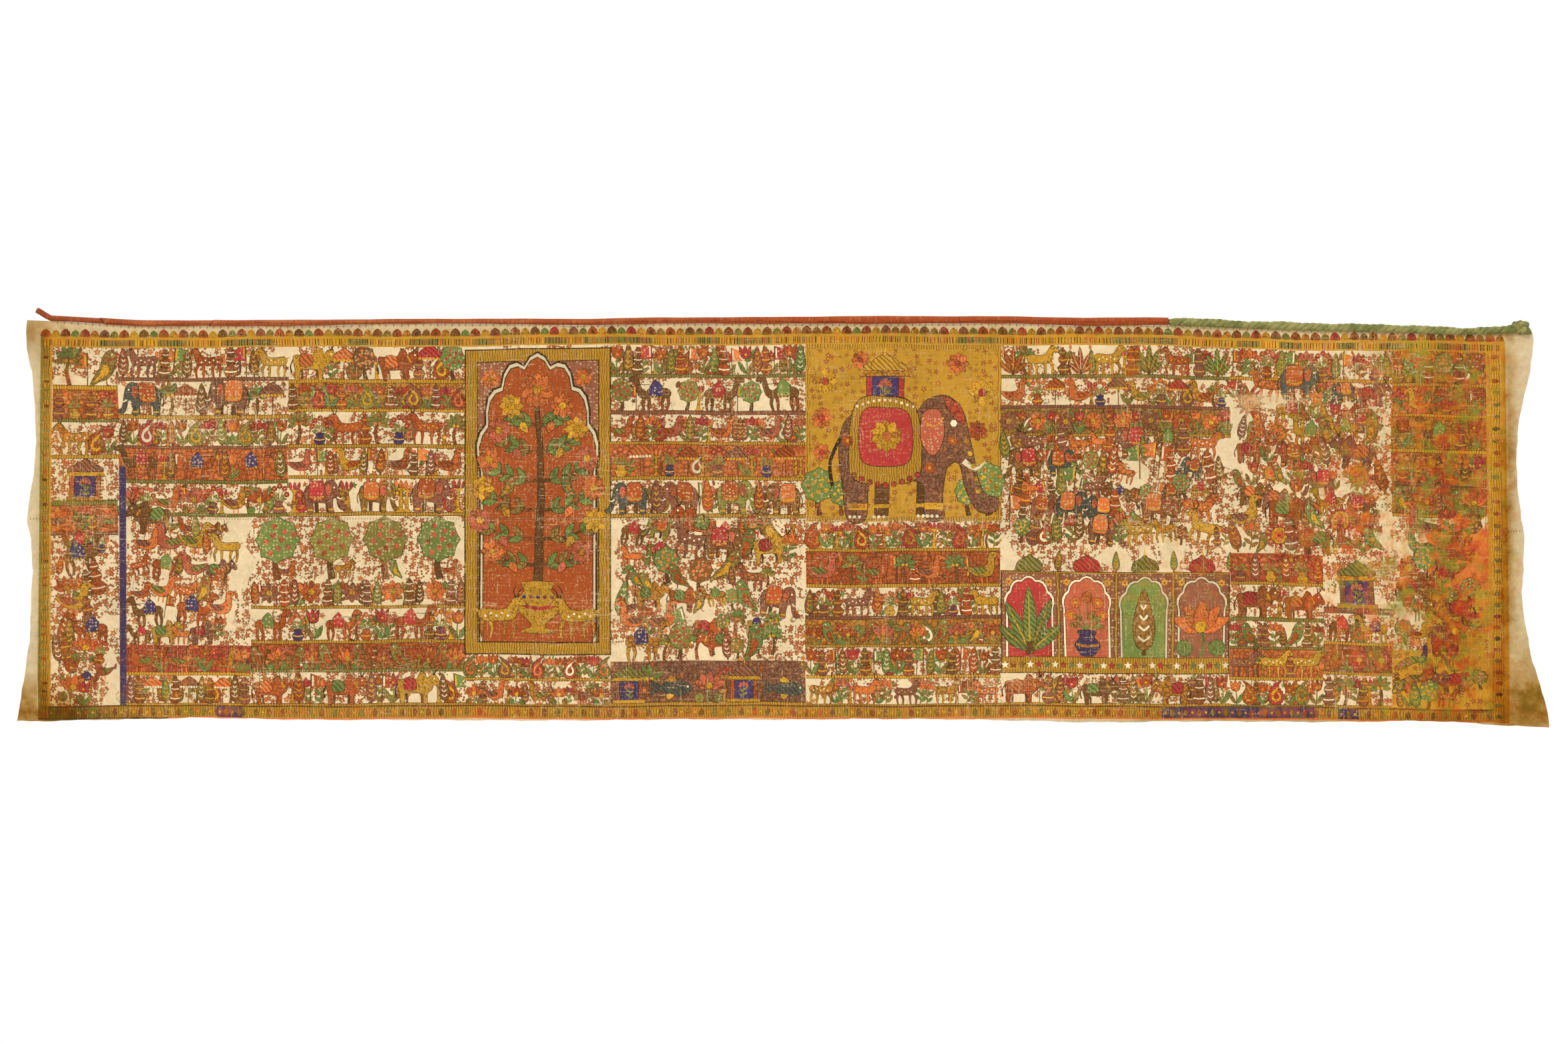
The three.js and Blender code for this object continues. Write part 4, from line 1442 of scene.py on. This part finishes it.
def painted_cotton():
    """Hand-woven cotton sized and painted with matt colours. They have faded, cracked off
    the raised threads, and taken up brown stains from damp, most of all at the right end."""
    material, tree, shader = matt_cloth("painted_handwoven_cotton", 0.88, 0.06)
    place = add_node(tree, "TexCoord").outputs["Object"]
    paint = add_node(tree, "Attribute", attribute_name="paint")
    stain = add_node(tree, "Attribute", attribute_name="stain").outputs["Fac"]
    rubbed = add_node(tree, "Attribute", attribute_name="rubbed").outputs["Fac"]
    bled = add_node(tree, "Attribute", attribute_name="bled").outputs["Fac"]
    code = maths(tree, "MULTIPLY", paint.outputs["Alpha"], 10.0)

    def coded(*numbers):
        """1 where the paint's pattern number is one of these."""
        found = [add_node(tree, "Math", {0: code, 1: float(number), 2: 0.4},
                          operation="COMPARE").outputs[0] for number in numbers]
        return found[0] if len(found) == 1 else maths(tree, "MAXIMUM", *found)

    # Brushwork inside the larger shapes: slanting lines 6 mm apart, dots 11 mm apart, upright
    # strokes 8 mm apart on the bands, wavering lines some 10 mm apart, cells 16 mm across.
    slanting = add_node(tree, "TexWave", {
        "Vector": place, "Scale": math.tau / (20 * 0.006) * 0.7, "Distortion": 3.0, "Detail": 1.0,
    }, wave_type="BANDS", bands_direction="DIAGONAL").outputs["Fac"]
    upright = add_node(tree, "TexWave", {
        "Vector": place, "Scale": math.tau / (20 * 0.008), "Distortion": 5.0, "Detail": 1.5,
    }, wave_type="BANDS", bands_direction="X").outputs["Fac"]
    level = add_node(tree, "Mapping", {"Vector": place, "Scale": (1.0, 0.0, 1.0)})
    dots = add_node(tree, "TexVoronoi", {"Vector": level.outputs[0], "Scale": 1 / 0.011,
                                         "Randomness": 0.55}).outputs["Distance"]
    lines_on = maths(tree, "MULTIPLY", ramped(tree, slanting, 0.50, 0.75, 0.62), coded(1, 3))
    bars_on = maths(tree, "MULTIPLY", ramped(tree, upright, 0.45, 0.75, 0.60), coded(4))
    dots_on = maths(tree, "MULTIPLY", ramped(tree, dots, 0.36, 0.26, 0.65), coded(2))
    specks_on = maths(tree, "MULTIPLY", ramped(tree, dots, 0.26, 0.16, 0.50), coded(5))
    field = stretched_noise(tree, place, (1, 0.0, 1), 0.034, 2.0)
    ripple = maths(tree, "PINGPONG", maths(tree, "MULTIPLY", field, 10.0), 0.5)
    ripples_on = maths(tree, "MULTIPLY", ramped(tree, ripple, 0.20, 0.09, 0.58), coded(6))
    # Hand-drawn cells: the pattern's own places are shaken by a fine noise first.
    shake = add_node(tree, "TexNoise", {"Vector": level.outputs[0], "Scale": 1 / 0.012})
    shaken = add_node(tree, "VectorMath", {0: shake.outputs["Color"], "Scale": 0.011},
                      operation="SCALE")
    drawn = add_node(tree, "VectorMath", {0: level.outputs[0], 1: shaken.outputs[0]})
    cells = add_node(tree, "TexVoronoi", {"Vector": drawn.outputs[0], "Scale": 1 / 0.016})
    kind = add_node(tree, "SeparateColor", {"Color": cells.outputs["Color"]})
    walls = add_node(tree, "TexVoronoi", {"Vector": drawn.outputs[0], "Scale": 1 / 0.016},
                     feature="DISTANCE_TO_EDGE").outputs["Distance"]
    walls_on = maths(tree, "MULTIPLY", ramped(tree, walls, 0.13, 0.05, 0.62), coded(7))

    def dabbed(value):
        """One of the eight common paints, picked by a random value."""
        ramp = tree.nodes.new("ShaderNodeValToRGB")
        ramp.color_ramp.interpolation = "CONSTANT"
        for i, dab in enumerate(("#AE5226", "#85532A", "#857C3A", "#BE8A2A",
                                 "#70833F", "#8F583E", "#D57132", "#B03636")):
            stop = ramp.color_ramp.elements[i] if i < 2 else ramp.color_ramp.elements.new(0)
            stop.position, stop.color = i / 8, (*linear(dab), 1)
        tree.links.new(value, ramp.inputs[0])
        return ramp.outputs[0]

    # Small flowers and leaves, each turned its own way: spaced 22 mm apart, or crowded 17 mm
    # apart over bare ground, which is left clean in patches some 170 mm across.
    crowded = coded(8)
    bed_scale = maths(tree, "ADD", 1 / 0.022, maths(tree, "MULTIPLY", crowded, 1 / 0.017 - 1 / 0.022))
    beds = add_node(tree, "TexVoronoi", {"Vector": level.outputs[0], "Scale": bed_scale,
                                         "Randomness": 0.65})
    chance = add_node(tree, "SeparateColor", {"Color": beds.outputs["Color"]})
    away = add_node(tree, "VectorMath", {0: level.outputs[0], 1: beds.outputs["Position"]},
                    operation="SUBTRACT").outputs[0]
    across = add_node(tree, "SeparateXYZ", {"Vector": away})
    turn = maths(tree, "ARCTAN2", across.outputs["Z"], across.outputs["X"])
    turn = maths(tree, "ADD", turn, maths(tree, "MULTIPLY", chance.outputs["Blue"], 6.0))
    leafy = maths(tree, "MULTIPLY", maths(tree, "GREATER_THAN", chance.outputs["Green"], 0.5), crowded)
    turn = maths(tree, "MULTIPLY", turn, maths(tree, "SUBTRACT", 5.0, maths(tree, "MULTIPLY", leafy, 3.0)))
    reach = maths(tree, "ADD", maths(tree, "MULTIPLY", maths(tree, "COSINE", turn), 0.10),
                  maths(tree, "ADD", 0.245, maths(tree, "MULTIPLY", crowded, 0.16)))
    length = add_node(tree, "VectorMath", {0: away}, operation="LENGTH").outputs["Value"]
    share = maths(tree, "DIVIDE", maths(tree, "MULTIPLY", length, bed_scale), reach)
    clean = ramped(tree, stretched_noise(tree, place, (1, 0.2, 1), 0.17, 2.0), 0.545, 0.565)
    sown = maths(tree, "MULTIPLY", crowded, maths(tree, "SUBTRACT", 1.0, clean))
    sown = maths(tree, "MAXIMUM", sown, coded(9))
    colour = paint.outputs["Color"]
    colour = mixed(tree, maths(tree, "MULTIPLY", coded(7), 0.45), colour, dabbed(kind.outputs["Red"]))
    for outer, inner, dab in ((1.36, 1.24, "#382614"), (1.14, 1.04, dabbed(chance.outputs["Red"])),
                              (0.40, 0.32, "#DDBF88")):
        there = maths(tree, "MULTIPLY", ramped(tree, share, outer, inner), sown)
        colour = mixed(tree, maths(tree, "MULTIPLY", there, 0.85), colour, dab)
    for brushed, dab in ((lines_on, "#2A1E12"), (ripples_on, "#2A1E12"), (walls_on, "#2A1E12"),
                         (bars_on, "#382512"), (dots_on, "#DDBF88"), (specks_on, "#D9A548")):
        colour = mixed(tree, brushed, colour, dab)

    # Faded all over: the colours have sunk a little into the yellowed size.
    colour = mixed(tree, 0.05, colour, "#C99A5E")
    # Damp has made the dyes run at the right end: orange, green and yellow glow through.
    for size, run in ((0.046, "#D59220"), (0.052, "#DD6C24"), (0.060, "#C8452C"),
                      (0.070, "#87922F")):
        ran = ramped(tree, stretched_noise(tree, place, (1, 0.2, 1), size, 3.0, 0.6), 0.50, 0.66)
        colour = mixed(tree, maths(tree, "MULTIPLY", maths(tree, "MULTIPLY", ran, bled), 0.70),
                       colour, run)
    # Brushed unevenly, lighter and darker within a hand's breadth and within a thumb's.
    broad = stretched_noise(tree, place, (1, 0.2, 1), 0.16, 4.0)
    close = stretched_noise(tree, place, (1, 0.2, 1), 0.022, 4.0, 0.7)
    shade = maths(tree, "ADD", maths(tree, "MULTIPLY", broad, 0.45),
                  maths(tree, "MULTIPLY", close, 0.55))
    tones = add_node(tree, "MapRange", {"Value": shade, "From Min": 0.3, "From Max": 0.7,
                                        "To Min": 0.80, "To Max": 1.26})
    colour = mixed(tree, 1.0, colour, tones.outputs["Result"], "MULTIPLY")

    # Worn off along warp and weft, in flecks and hair lines down to the bare cotton.
    level_wear = stretched_noise(tree, place, (0.10, 0.2, 1.6), 0.007, 2.0)
    upright_wear = stretched_noise(tree, place, (1.6, 0.2, 0.10), 0.007, 2.0)
    flecks = stretched_noise(tree, place, (1, 0.2, 1), 0.006, 3.0, 0.7)
    wear = maths(tree, "MAXIMUM", level_wear, upright_wear)
    wear = maths(tree, "ADD", maths(tree, "MULTIPLY", wear, 0.55),
                 maths(tree, "MULTIPLY", flecks, 0.45))
    where = stretched_noise(tree, place, (1, 0.2, 1), 0.35, 3.0)
    wear = maths(tree, "ADD", wear, maths(tree, "MULTIPLY", where, 0.16))
    wear = maths(tree, "ADD", wear, maths(tree, "MULTIPLY", rubbed, 0.22))
    colour = mixed(tree, ramped(tree, wear, 0.63, 0.79, 0.75), colour, "#DDBF8C")
    # Brown specks of size and soot.
    soot = stretched_noise(tree, place, (1, 0.2, 1), 0.009, 2.0, 0.6)
    colour = mixed(tree, ramped(tree, soot, 0.66, 0.80, 0.55), colour, "#5A3A22")
    # Damp stains: ochre brown, with uneven tide lines.
    edge = stretched_noise(tree, place, (1, 0.2, 1), 0.12, 5.0, 0.65)
    damp = maths(tree, "MULTIPLY", stain, ramped(tree, edge, 0.25, 0.68))
    damp = maths(tree, "ADD", maths(tree, "MULTIPLY", stain, 0.55), maths(tree, "MULTIPLY", damp, 0.45))
    colour = mixed(tree, damp, colour, "#D6CFA2", "MULTIPLY")
    colour = mixed(tree, ramped(tree, damp, 0.25, 0.95), colour, "#D0A552", "MULTIPLY")
    colour = mixed(tree, ramped(tree, damp, 0.70, 1.0, 0.7), colour, "#66521A")

    # Threads are 0.6 mm apart; drawn 2.8 mm apart so that they show.
    rumpled = stretched_noise(tree, place, (1, 0.2, 1), 0.045, 3.0)
    finished(tree, shader, colour, (threads(tree, place, 0.0028), 0.35), (rumpled, 3.0), 0.45)
    return material


cotton = painted_cotton()
for width in (upper_width, lower_width):
    width.data.materials.append(cotton)
    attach(width, "root")
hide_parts("cloth_upper")
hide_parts("cloth_lower")


# ==== Heading, plain part ===================================================================
# A strip of rust-red cotton rolled up tight on itself and sewn along the top edge. It is
# pieced from three lengths, lapped on a slant, and its left end is left open past the cloth.
ROLL_RADII = np.array([    # x, and half the thickness of the roll there
    (-2420, 9.3), (-2280, 9), (-2100, 10.3), (-1840, 9.6), (-1560, 10.3), (-1300, 8.5),
    (-900, 8.9), (-700, 10.6), (-300, 10.5), (0, 11.7), (300, 13.2), (600, 11.9), (800, 12.3),
    (1020, 13.4), (1240, 12.8),
])
ROLL_SIDES = 30
ROLL_START = 0.0159        # share of the top edge at which the roll meets the cloth
JOIN_SHARE = 66 / 87       # the plain roll ends here, and the twisted one begins
FREE_END = ((46, 26), (32, 18), (16, 8))       # out from the corner, and up, to the tip
LAPS = ((-2200, -0.9), (-1848, 0.9))           # x of each lapped join, and its slant
LAP_STEP = 1.5
FOLD = 1.3                 # thickness of the roll's outer turn, seen where it ends


def top_edge(share):
    """Points of the cloth's top edge, in the middle of its thickness."""
    level = level_at(share, TOP)
    x, z = cloth_place(share, level).T
    return np.stack([x, depth_at(x, level), z], -1)


def unit(ways):
    return ways / np.linalg.norm(ways, axis=1)[:, None]


def framed(path):
    """The direction of a path at each point, and the upward and forward ways square to it."""
    ahead = unit(np.gradient(path, axis=0))
    forward = np.tile([0.0, -1.0, 0.0], (len(path), 1))
    forward = unit(forward - (forward * ahead).sum(1)[:, None] * ahead)
    return ahead, np.cross(forward, ahead), forward


def ringed(path, reach, turn, up, side):
    """Rings of points round a path, each point as far out as its reach says."""
    return path[:, None] + np.asarray(reach)[..., None] * (
        np.cos(turn)[:, None] * up[:, None] + np.sin(turn)[:, None] * side[:, None])


def tube(rings, closed=False):
    """The points and faces of a tube through rings of points, with both its ends shut."""
    count, sides, _ = rings.shape
    faces = []
    for ring in range(count if closed else count - 1):
        a, b = ring * sides, (ring + 1) % count * sides
        for i in range(sides):
            j = (i + 1) % sides
            faces.append((a + i, a + j, b + j, b + i))
    points = rings.reshape(-1, 3)
    if not closed:
        first, last = len(points), (count - 1) * sides
        points = np.concatenate([points, rings[:1].mean(1), rings[-1:].mean(1)])
        for i in range(sides):
            j = (i + 1) % sides
            faces.append((j, i, first))
            faces.append((last + i, last + j, first + 1))
    return points, faces


def made_of(name, parts, material, **measures):
    """One object from several tubes, with a measure for the material at every point."""
    points, faces = [], []
    for part_points, part_faces in parts:
        shift = sum(len(earlier) for earlier in points)
        faces += [tuple(shift + i for i in face) for face in part_faces]
        points.append(part_points)
    mesh = bpy.data.meshes.new(name)
    mesh.from_pydata((np.concatenate(points) / 1000).tolist(), [], faces)
    for label, values in measures.items():
        mesh.attributes.new(label, "FLOAT", "POINT").data.foreach_set("value", values)
    mesh.shade_smooth()
    mesh.materials.append(material)
    made = bpy.data.objects.new(name, mesh)
    bpy.context.collection.objects.link(made)
    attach(made, "root")
    return made


def red_cotton():
    """Plain-woven cotton dyed rust red, matt, flecked paler and darker, with painted shade where the
    shadow measure says: in the roll's fold, at its laps, inside its open end and along its top.
    """
    material, tree, shader = matt_cloth("dyed_red_cotton", 0.9, 0.2)
    place = add_node(tree, "TexCoord").outputs["Object"]
    shadow = add_node(tree, "Attribute", attribute_name="shadow").outputs["Fac"]
    broad = stretched_noise(tree, place, (1, 1, 1), 0.14, 3.0)
    close = stretched_noise(tree, place, (2.5, 0.6, 0.6), 0.012, 3.0)
    colour = mixed(tree, ramped(tree, broad, 0.35, 0.65), "#A9522A", "#B86636")
    # The three lengths differ: the last is the brightest, the free end is soiled.
    along_x = add_node(tree, "SeparateXYZ", {"Vector": place}).outputs["X"]
    colour = mixed(tree, ramped(tree, along_x, -1.2, 0.3, 0.65), colour, "#AA4214")
    colour = mixed(tree, ramped(tree, along_x, -2.0, -2.4, 0.5), colour, "#843516")
    colour = mixed(tree, ramped(tree, close, 0.50, 0.72, 0.55), colour, "#853818")
    colour = mixed(tree, ramped(tree, close, 0.45, 0.30, 0.45), colour, "#C98452")
    # Painted shade: darkened towards brown-black where the roll's shadow measure is high.
    colour = mixed(tree, shadow, colour, "#3A1B10")
    # Threads are 0.6 mm apart; drawn 2 mm apart so that they show.
    creased = stretched_noise(tree, place, (0.4, 1, 2.5), 0.012, 3.0)
    finished(tree, shader, colour, (threads(tree, place, 0.002), 0.4), (creased, 1.5), 0.6)
    return material


def roll_path():
    """The middle of the roll from its free tip to the join, closer spaced at the laps."""
    shares = np.arange(ROLL_START, JOIN_SHARE, 5 / LENGTH)
    for lap, _ in LAPS:
        near = (lap - SIDES[0, LEFT]) / (SIDES[0, RIGHT] - SIDES[0, LEFT])
        shares = np.concatenate([shares, np.linspace(near - 0.005, near + 0.007, 60)])
    shares = np.append(np.sort(shares), JOIN_SHARE)
    path = top_edge(shares)
    path[:, 2] += PIECE_GAP + along(ROLL_RADII, path[:, 0], 1) * math.cos(math.pi / 10)
    corner = path[0]
    free = np.array([corner + (-out, 0, up) for out, up in FREE_END] + [corner])
    steps = np.linspace(0, 3, 15)[:-1]
    curved = np.stack([np.interp(steps, range(4), free[:, axis]) for axis in range(3)], -1)
    return np.concatenate([curved, path])


def plain_roll():
    path = roll_path()
    radius = along(ROLL_RADII, path[:, 0], 1)
    # the open tip: the layers inside stand back from the outer turn
    mouth = [(0.12, 12), (0.40, 11), (0.62, 8), (0.80, 5), (0.90, 1.5), (0.97, 0)]
    ahead, up, forward = framed(path)
    starts = np.stack([path[0] + ahead[0] * back for _, back in mouth])
    path = np.concatenate([starts, path[1:], path[-1:] + ahead[-1] * 0.4])
    radius = np.concatenate([[radius[0] * share for share, _ in mouth], radius[1:], radius[-1:] * 0.86])
    up = np.concatenate([np.tile(up[0], (len(mouth), 1)), up[1:], up[-1:]])
    forward = np.concatenate([np.tile(forward[0], (len(mouth), 1)), forward[1:], forward[-1:]])
    turn = np.arange(ROLL_SIDES) / ROLL_SIDES * math.tau
    x = path[:, :1]
    lap_edge = 1.9 + 0.35 * np.sin(x / 210) + 0.12 * np.sin(x / 37)
    spiral = ((turn - lap_edge) / math.tau) % 1
    reach = radius[:, None] * (1 - 0.02 * np.cos(2 * turn)) + FOLD * (spiral - 0.5)
    reach += 0.22 * np.sin(3 * turn + x / 23) + 0.25 * np.sin(2 * turn - x / 61)
    # Painted shade, kept as the shadow measure: dark in the step where the outer turn ends, along the top
    # of the roll, at each lapped join, and deep inside the open tip.
    shadow = np.exp(-((spiral * math.tau * radius[:, None]) / 1.8) ** 2) * 0.55
    shadow = np.maximum(shadow, 0.42 * np.clip(np.cos(turn) - 0.72, 0, 1) / 0.28)
    for lap, slant in LAPS:
        past = x - (lap + slant * radius[:, None] * np.cos(turn))
        reach += LAP_STEP * (past > 0) * np.exp(-np.abs(past) / 55)
        shadow = np.maximum(shadow, np.exp(-(past / 2.2) ** 2))
    shadow[:len(mouth) - 2] = 0.9
    shadow[len(mouth) - 2:len(mouth)] = 0.45
    points, faces = tube(ringed(path, reach, turn, up, forward))
    shades = np.concatenate([shadow.ravel(), [0.9, 0.3]])
    return made_of("red_rolled_heading", [(points, faces)], red_cotton(), shadow=shades)


red_roll = plain_roll()
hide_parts("heading_roll")


# ==== Heading, twisted part =================================================================
# Three strands of grey-green cotton, twisted like a rope and sewn on from the join to the
# right corner, where they end in a knot.
ROPE_RADIUS = 13.4
ROPE_PITCH = 69.0          # one full turn of the rope
STRAND_RADIUS = 7.7
SUNK = 2.0                 # the cloth's edge is sewn this far up into the rope
STRAND_SIDES = 18
KNOT_BEFORE = 38           # the middle of the knot lies this far in from the corner
KNOT_CORE = [              # along and above the middle of the knot, and half the thickness
    (-46, 9, 10), (-30, 12, 13), (-14, 18, 19), (-2, 20, 22), (11, 15, 20), (23, 8, 14),
    (32, 3, 8), (35, 1, 3),
]


def green_cotton():
    """Faded green cotton, twisted: pale where it is rubbed, with painted shade in the valleys between its
    strands.
    """
    material, tree, shader = matt_cloth("faded_green_cotton", 0.9, 0.2)
    place = add_node(tree, "TexCoord").outputs["Object"]
    proud = add_node(tree, "Attribute", attribute_name="proud").outputs["Fac"]
    broad = stretched_noise(tree, place, (1, 1, 1), 0.05, 3.0)
    close = stretched_noise(tree, place, (1, 1, 1), 0.006, 3.0)
    colour = mixed(tree, ramped(tree, broad, 0.35, 0.65), "#73763C", "#A09A5C")
    colour = mixed(tree, ramped(tree, close, 0.5, 0.75, 0.5), colour, "#B9AE7A")
    # Painted shade: dark green-brown where the proud measure is low, in the valleys between strands, on
    # the knot and at the strands' ends.
    colour = mixed(tree, ramped(tree, proud, 0.95, 0.68), colour, "#2E3014")
    creased = stretched_noise(tree, place, (1, 1, 1), 0.008, 3.0)
    finished(tree, shader, colour, (threads(tree, place, 0.002), 0.4), (creased, 1.6), 0.7)
    return material


def twisted_roll():
    shares = np.arange(JOIN_SHARE, 1 - 22 / LENGTH, 2.6 / LENGTH)
    path = top_edge(shares)
    path[:, 0] += np.linspace(1.5, 0, len(path))
    x = path[:, 0]
    lumps = 1 + 0.05 * np.sin(x / 41) + 0.04 * np.sin(x / 17 + 1)
    lumps -= 0.16 * np.exp(-((x - 1500) / 13) ** 2) + 0.15 * np.exp(-((x - 2190) / 70) ** 2)
    path += (0, -1.5, ROPE_RADIUS - SUNK)
    path[:, 2] -= (1 - lumps) * 0.8 * ROPE_RADIUS
    ahead, up, forward = framed(path)
    lumps *= np.clip(0.72 + (x - x[0]) / 30, 0, 1)
    parts, proud = [], []
    turn = np.arange(STRAND_SIDES) / STRAND_SIDES * math.tau
    for strand in range(3):
        around = -math.tau * ((x - x[0]) / ROPE_PITCH + 0.10 * np.sin(x / 57)) + strand * math.tau / 3
        out = np.cos(around)[:, None] * up + np.sin(around)[:, None] * forward
        centre = path + out * ((ROPE_RADIUS - STRAND_RADIUS) * lumps)[:, None]
        side = np.cross(unit(np.gradient(centre, axis=0)), out)
        wide = STRAND_RADIUS * lumps * (1 + 0.06 * np.sin(x / 23 + 2 * strand))
        ripple = 1 + 0.05 * np.sin(5 * turn + x[:, None] / 5 + strand) + 0.03 * np.sin(
            2 * turn - x[:, None] / 9)
        reach = wide[:, None] * ripple
        rings = ringed(centre, reach, turn, out, 1.12 * side)
        parts.append(tube(rings))
        # How far out from the rope's axis each point stands, for the painted shade in the valleys; the
        # strands' cut ends get a low value, so painted shade too.
        from_axis = np.linalg.norm(rings - path[:, None], axis=2) / (ROPE_RADIUS * lumps[:, None])
        proud += [from_axis.ravel(), [0.3, 0.3]]
    # the knot: the rope's end doubled into a wedge, with a cord passed round and through it
    knot_at = top_edge(np.array([1 - KNOT_BEFORE / LENGTH]))[0]
    core = np.array(KNOT_CORE)
    fine = np.linspace(0, len(core) - 1, 60)
    out_x, over, thick = (np.interp(fine, range(len(core)), column) for column in core.T)
    middle = knot_at + np.stack([out_x, 0 * out_x, over], -1)
    thick = thick[:, None] * (1 + 0.05 * np.sin(3 * turn + out_x[:, None] / 4))
    rings = ringed(middle, thick, turn, np.array([[0, 0, 1.0]]), np.array([[0, -0.8, 0]]))
    parts.append(tube(rings))
    # The knot's wedge gets a little painted shade all over.
    proud += [np.full(rings.shape[0] * rings.shape[1], 0.84), [0.8, 0.8]]
    knot_at += (-1, 0, 19)
    t = np.linspace(0, math.tau, 160, endpoint=False)
    loop = knot_at + np.stack([24 * (np.sin(t) + 2 * np.sin(2 * t)) / 3, 15 * np.sin(3 * t),
                               16 * (np.cos(t) - 2 * np.cos(2 * t)) / 3], -1)
    way = unit(np.roll(loop, -1, 0) - np.roll(loop, 1, 0))
    out = unit(np.cross(way, [0.0, 1.0, 0.0]))
    reach = 7.5 * (1 + 0.07 * np.sin(4 * turn + 9 * t[:, None]) + 0.05 * np.sin(7 * t[:, None]))
    rings = ringed(loop, reach, turn, out, np.cross(way, out))
    parts.append(tube(rings, closed=True))
    # Painted shade on the cord: darker on its far side, away from the front.
    proud.append((0.55 + 0.5 * np.clip(knot_at[1] - rings[..., 1], -8, 16) / 16).ravel())
    return made_of("green_twisted_heading", parts, green_cotton(), proud=np.concatenate(proud))


green_twist = twisted_roll()
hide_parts("heading_twist")


# ==== Stitches ===============================================================================
# Undyed cotton thread: slanted whip stitches hold the heading to the cloth, and small close
# ones oversew the seam between the two widths.
THREAD_SIDES = 5


def thread_cotton():
    """Spun cotton thread, undyed and darkened with handling."""
    material, _, shader = matt_cloth("undyed_cotton_thread", 0.85, 0.25)
    shader.inputs["Base Color"].default_value = (*linear("#8E6B42"), 1)
    return material


def stitch(points, radius):
    """One stitch: a thread through a few points."""
    path = np.array(points, float)
    ahead = unit(np.gradient(path, axis=0))
    out = unit(np.cross(ahead, [1.0, 0.0, 0.0]))
    turn = np.arange(THREAD_SIDES) / THREAD_SIDES * math.tau
    return tube(ringed(path, radius, turn, out, np.cross(ahead, out)))


thread = thread_cotton()
sewing = random.Random(3)
WHIP_SPACING, SEAM_SPACING = 23, 9

whip = []
share = ROLL_START + 0.004
while share < 1 - 90 / LENGTH:
    (x, y, z), = top_edge(np.array([share]))
    radius = ROPE_RADIUS if share > JOIN_SHARE else float(along(ROLL_RADII, x, 1))
    lean = sewing.uniform(2, 5)
    whip.append(stitch([(x, y - 0.4, z - 7.5), (x + 0.15 * lean, y - 1.9, z - 6.5),
                        (x + 0.5 * lean, y - 2.6, z - 1.5), (x + 0.8 * lean, y - 0.72 * radius, z
                        + 0.34 * radius), (x + lean, y - radius - 0.6, z + 0.9 * radius),
                        (x + 1.1 * lean, y - radius + 2, z + 1.1 * radius)], 0.75))
    share += (WHIP_SPACING + sewing.uniform(-3, 3)) / LENGTH
whip_stitches = made_of("heading_stitches", whip, thread)

seam = []
share = 0.002
while share < 0.998:
    level = float(level_at(share, SEAM))
    (x, z), = cloth_place(np.array([share]), np.array([level]))
    y = float(depth_at(np.array([x]), np.array([level]))[0]) - CLOTH_THICKNESS / 2
    lean, tall = sewing.uniform(1.5, 3), sewing.uniform(3.0, 4.2)
    seam.append(stitch([(x, y + 0.2, z - tall), (x + 0.3, y - 1.3, z - 0.7 * tall),
                        (x + lean, y - 1.5, z + 0.7 * tall), (x + lean, y + 0.2, z + tall)], 0.5))
    share += (SEAM_SPACING + sewing.uniform(-1.2, 1.2)) / LENGTH
seam_stitches = made_of("seam_stitches", seam, thread)
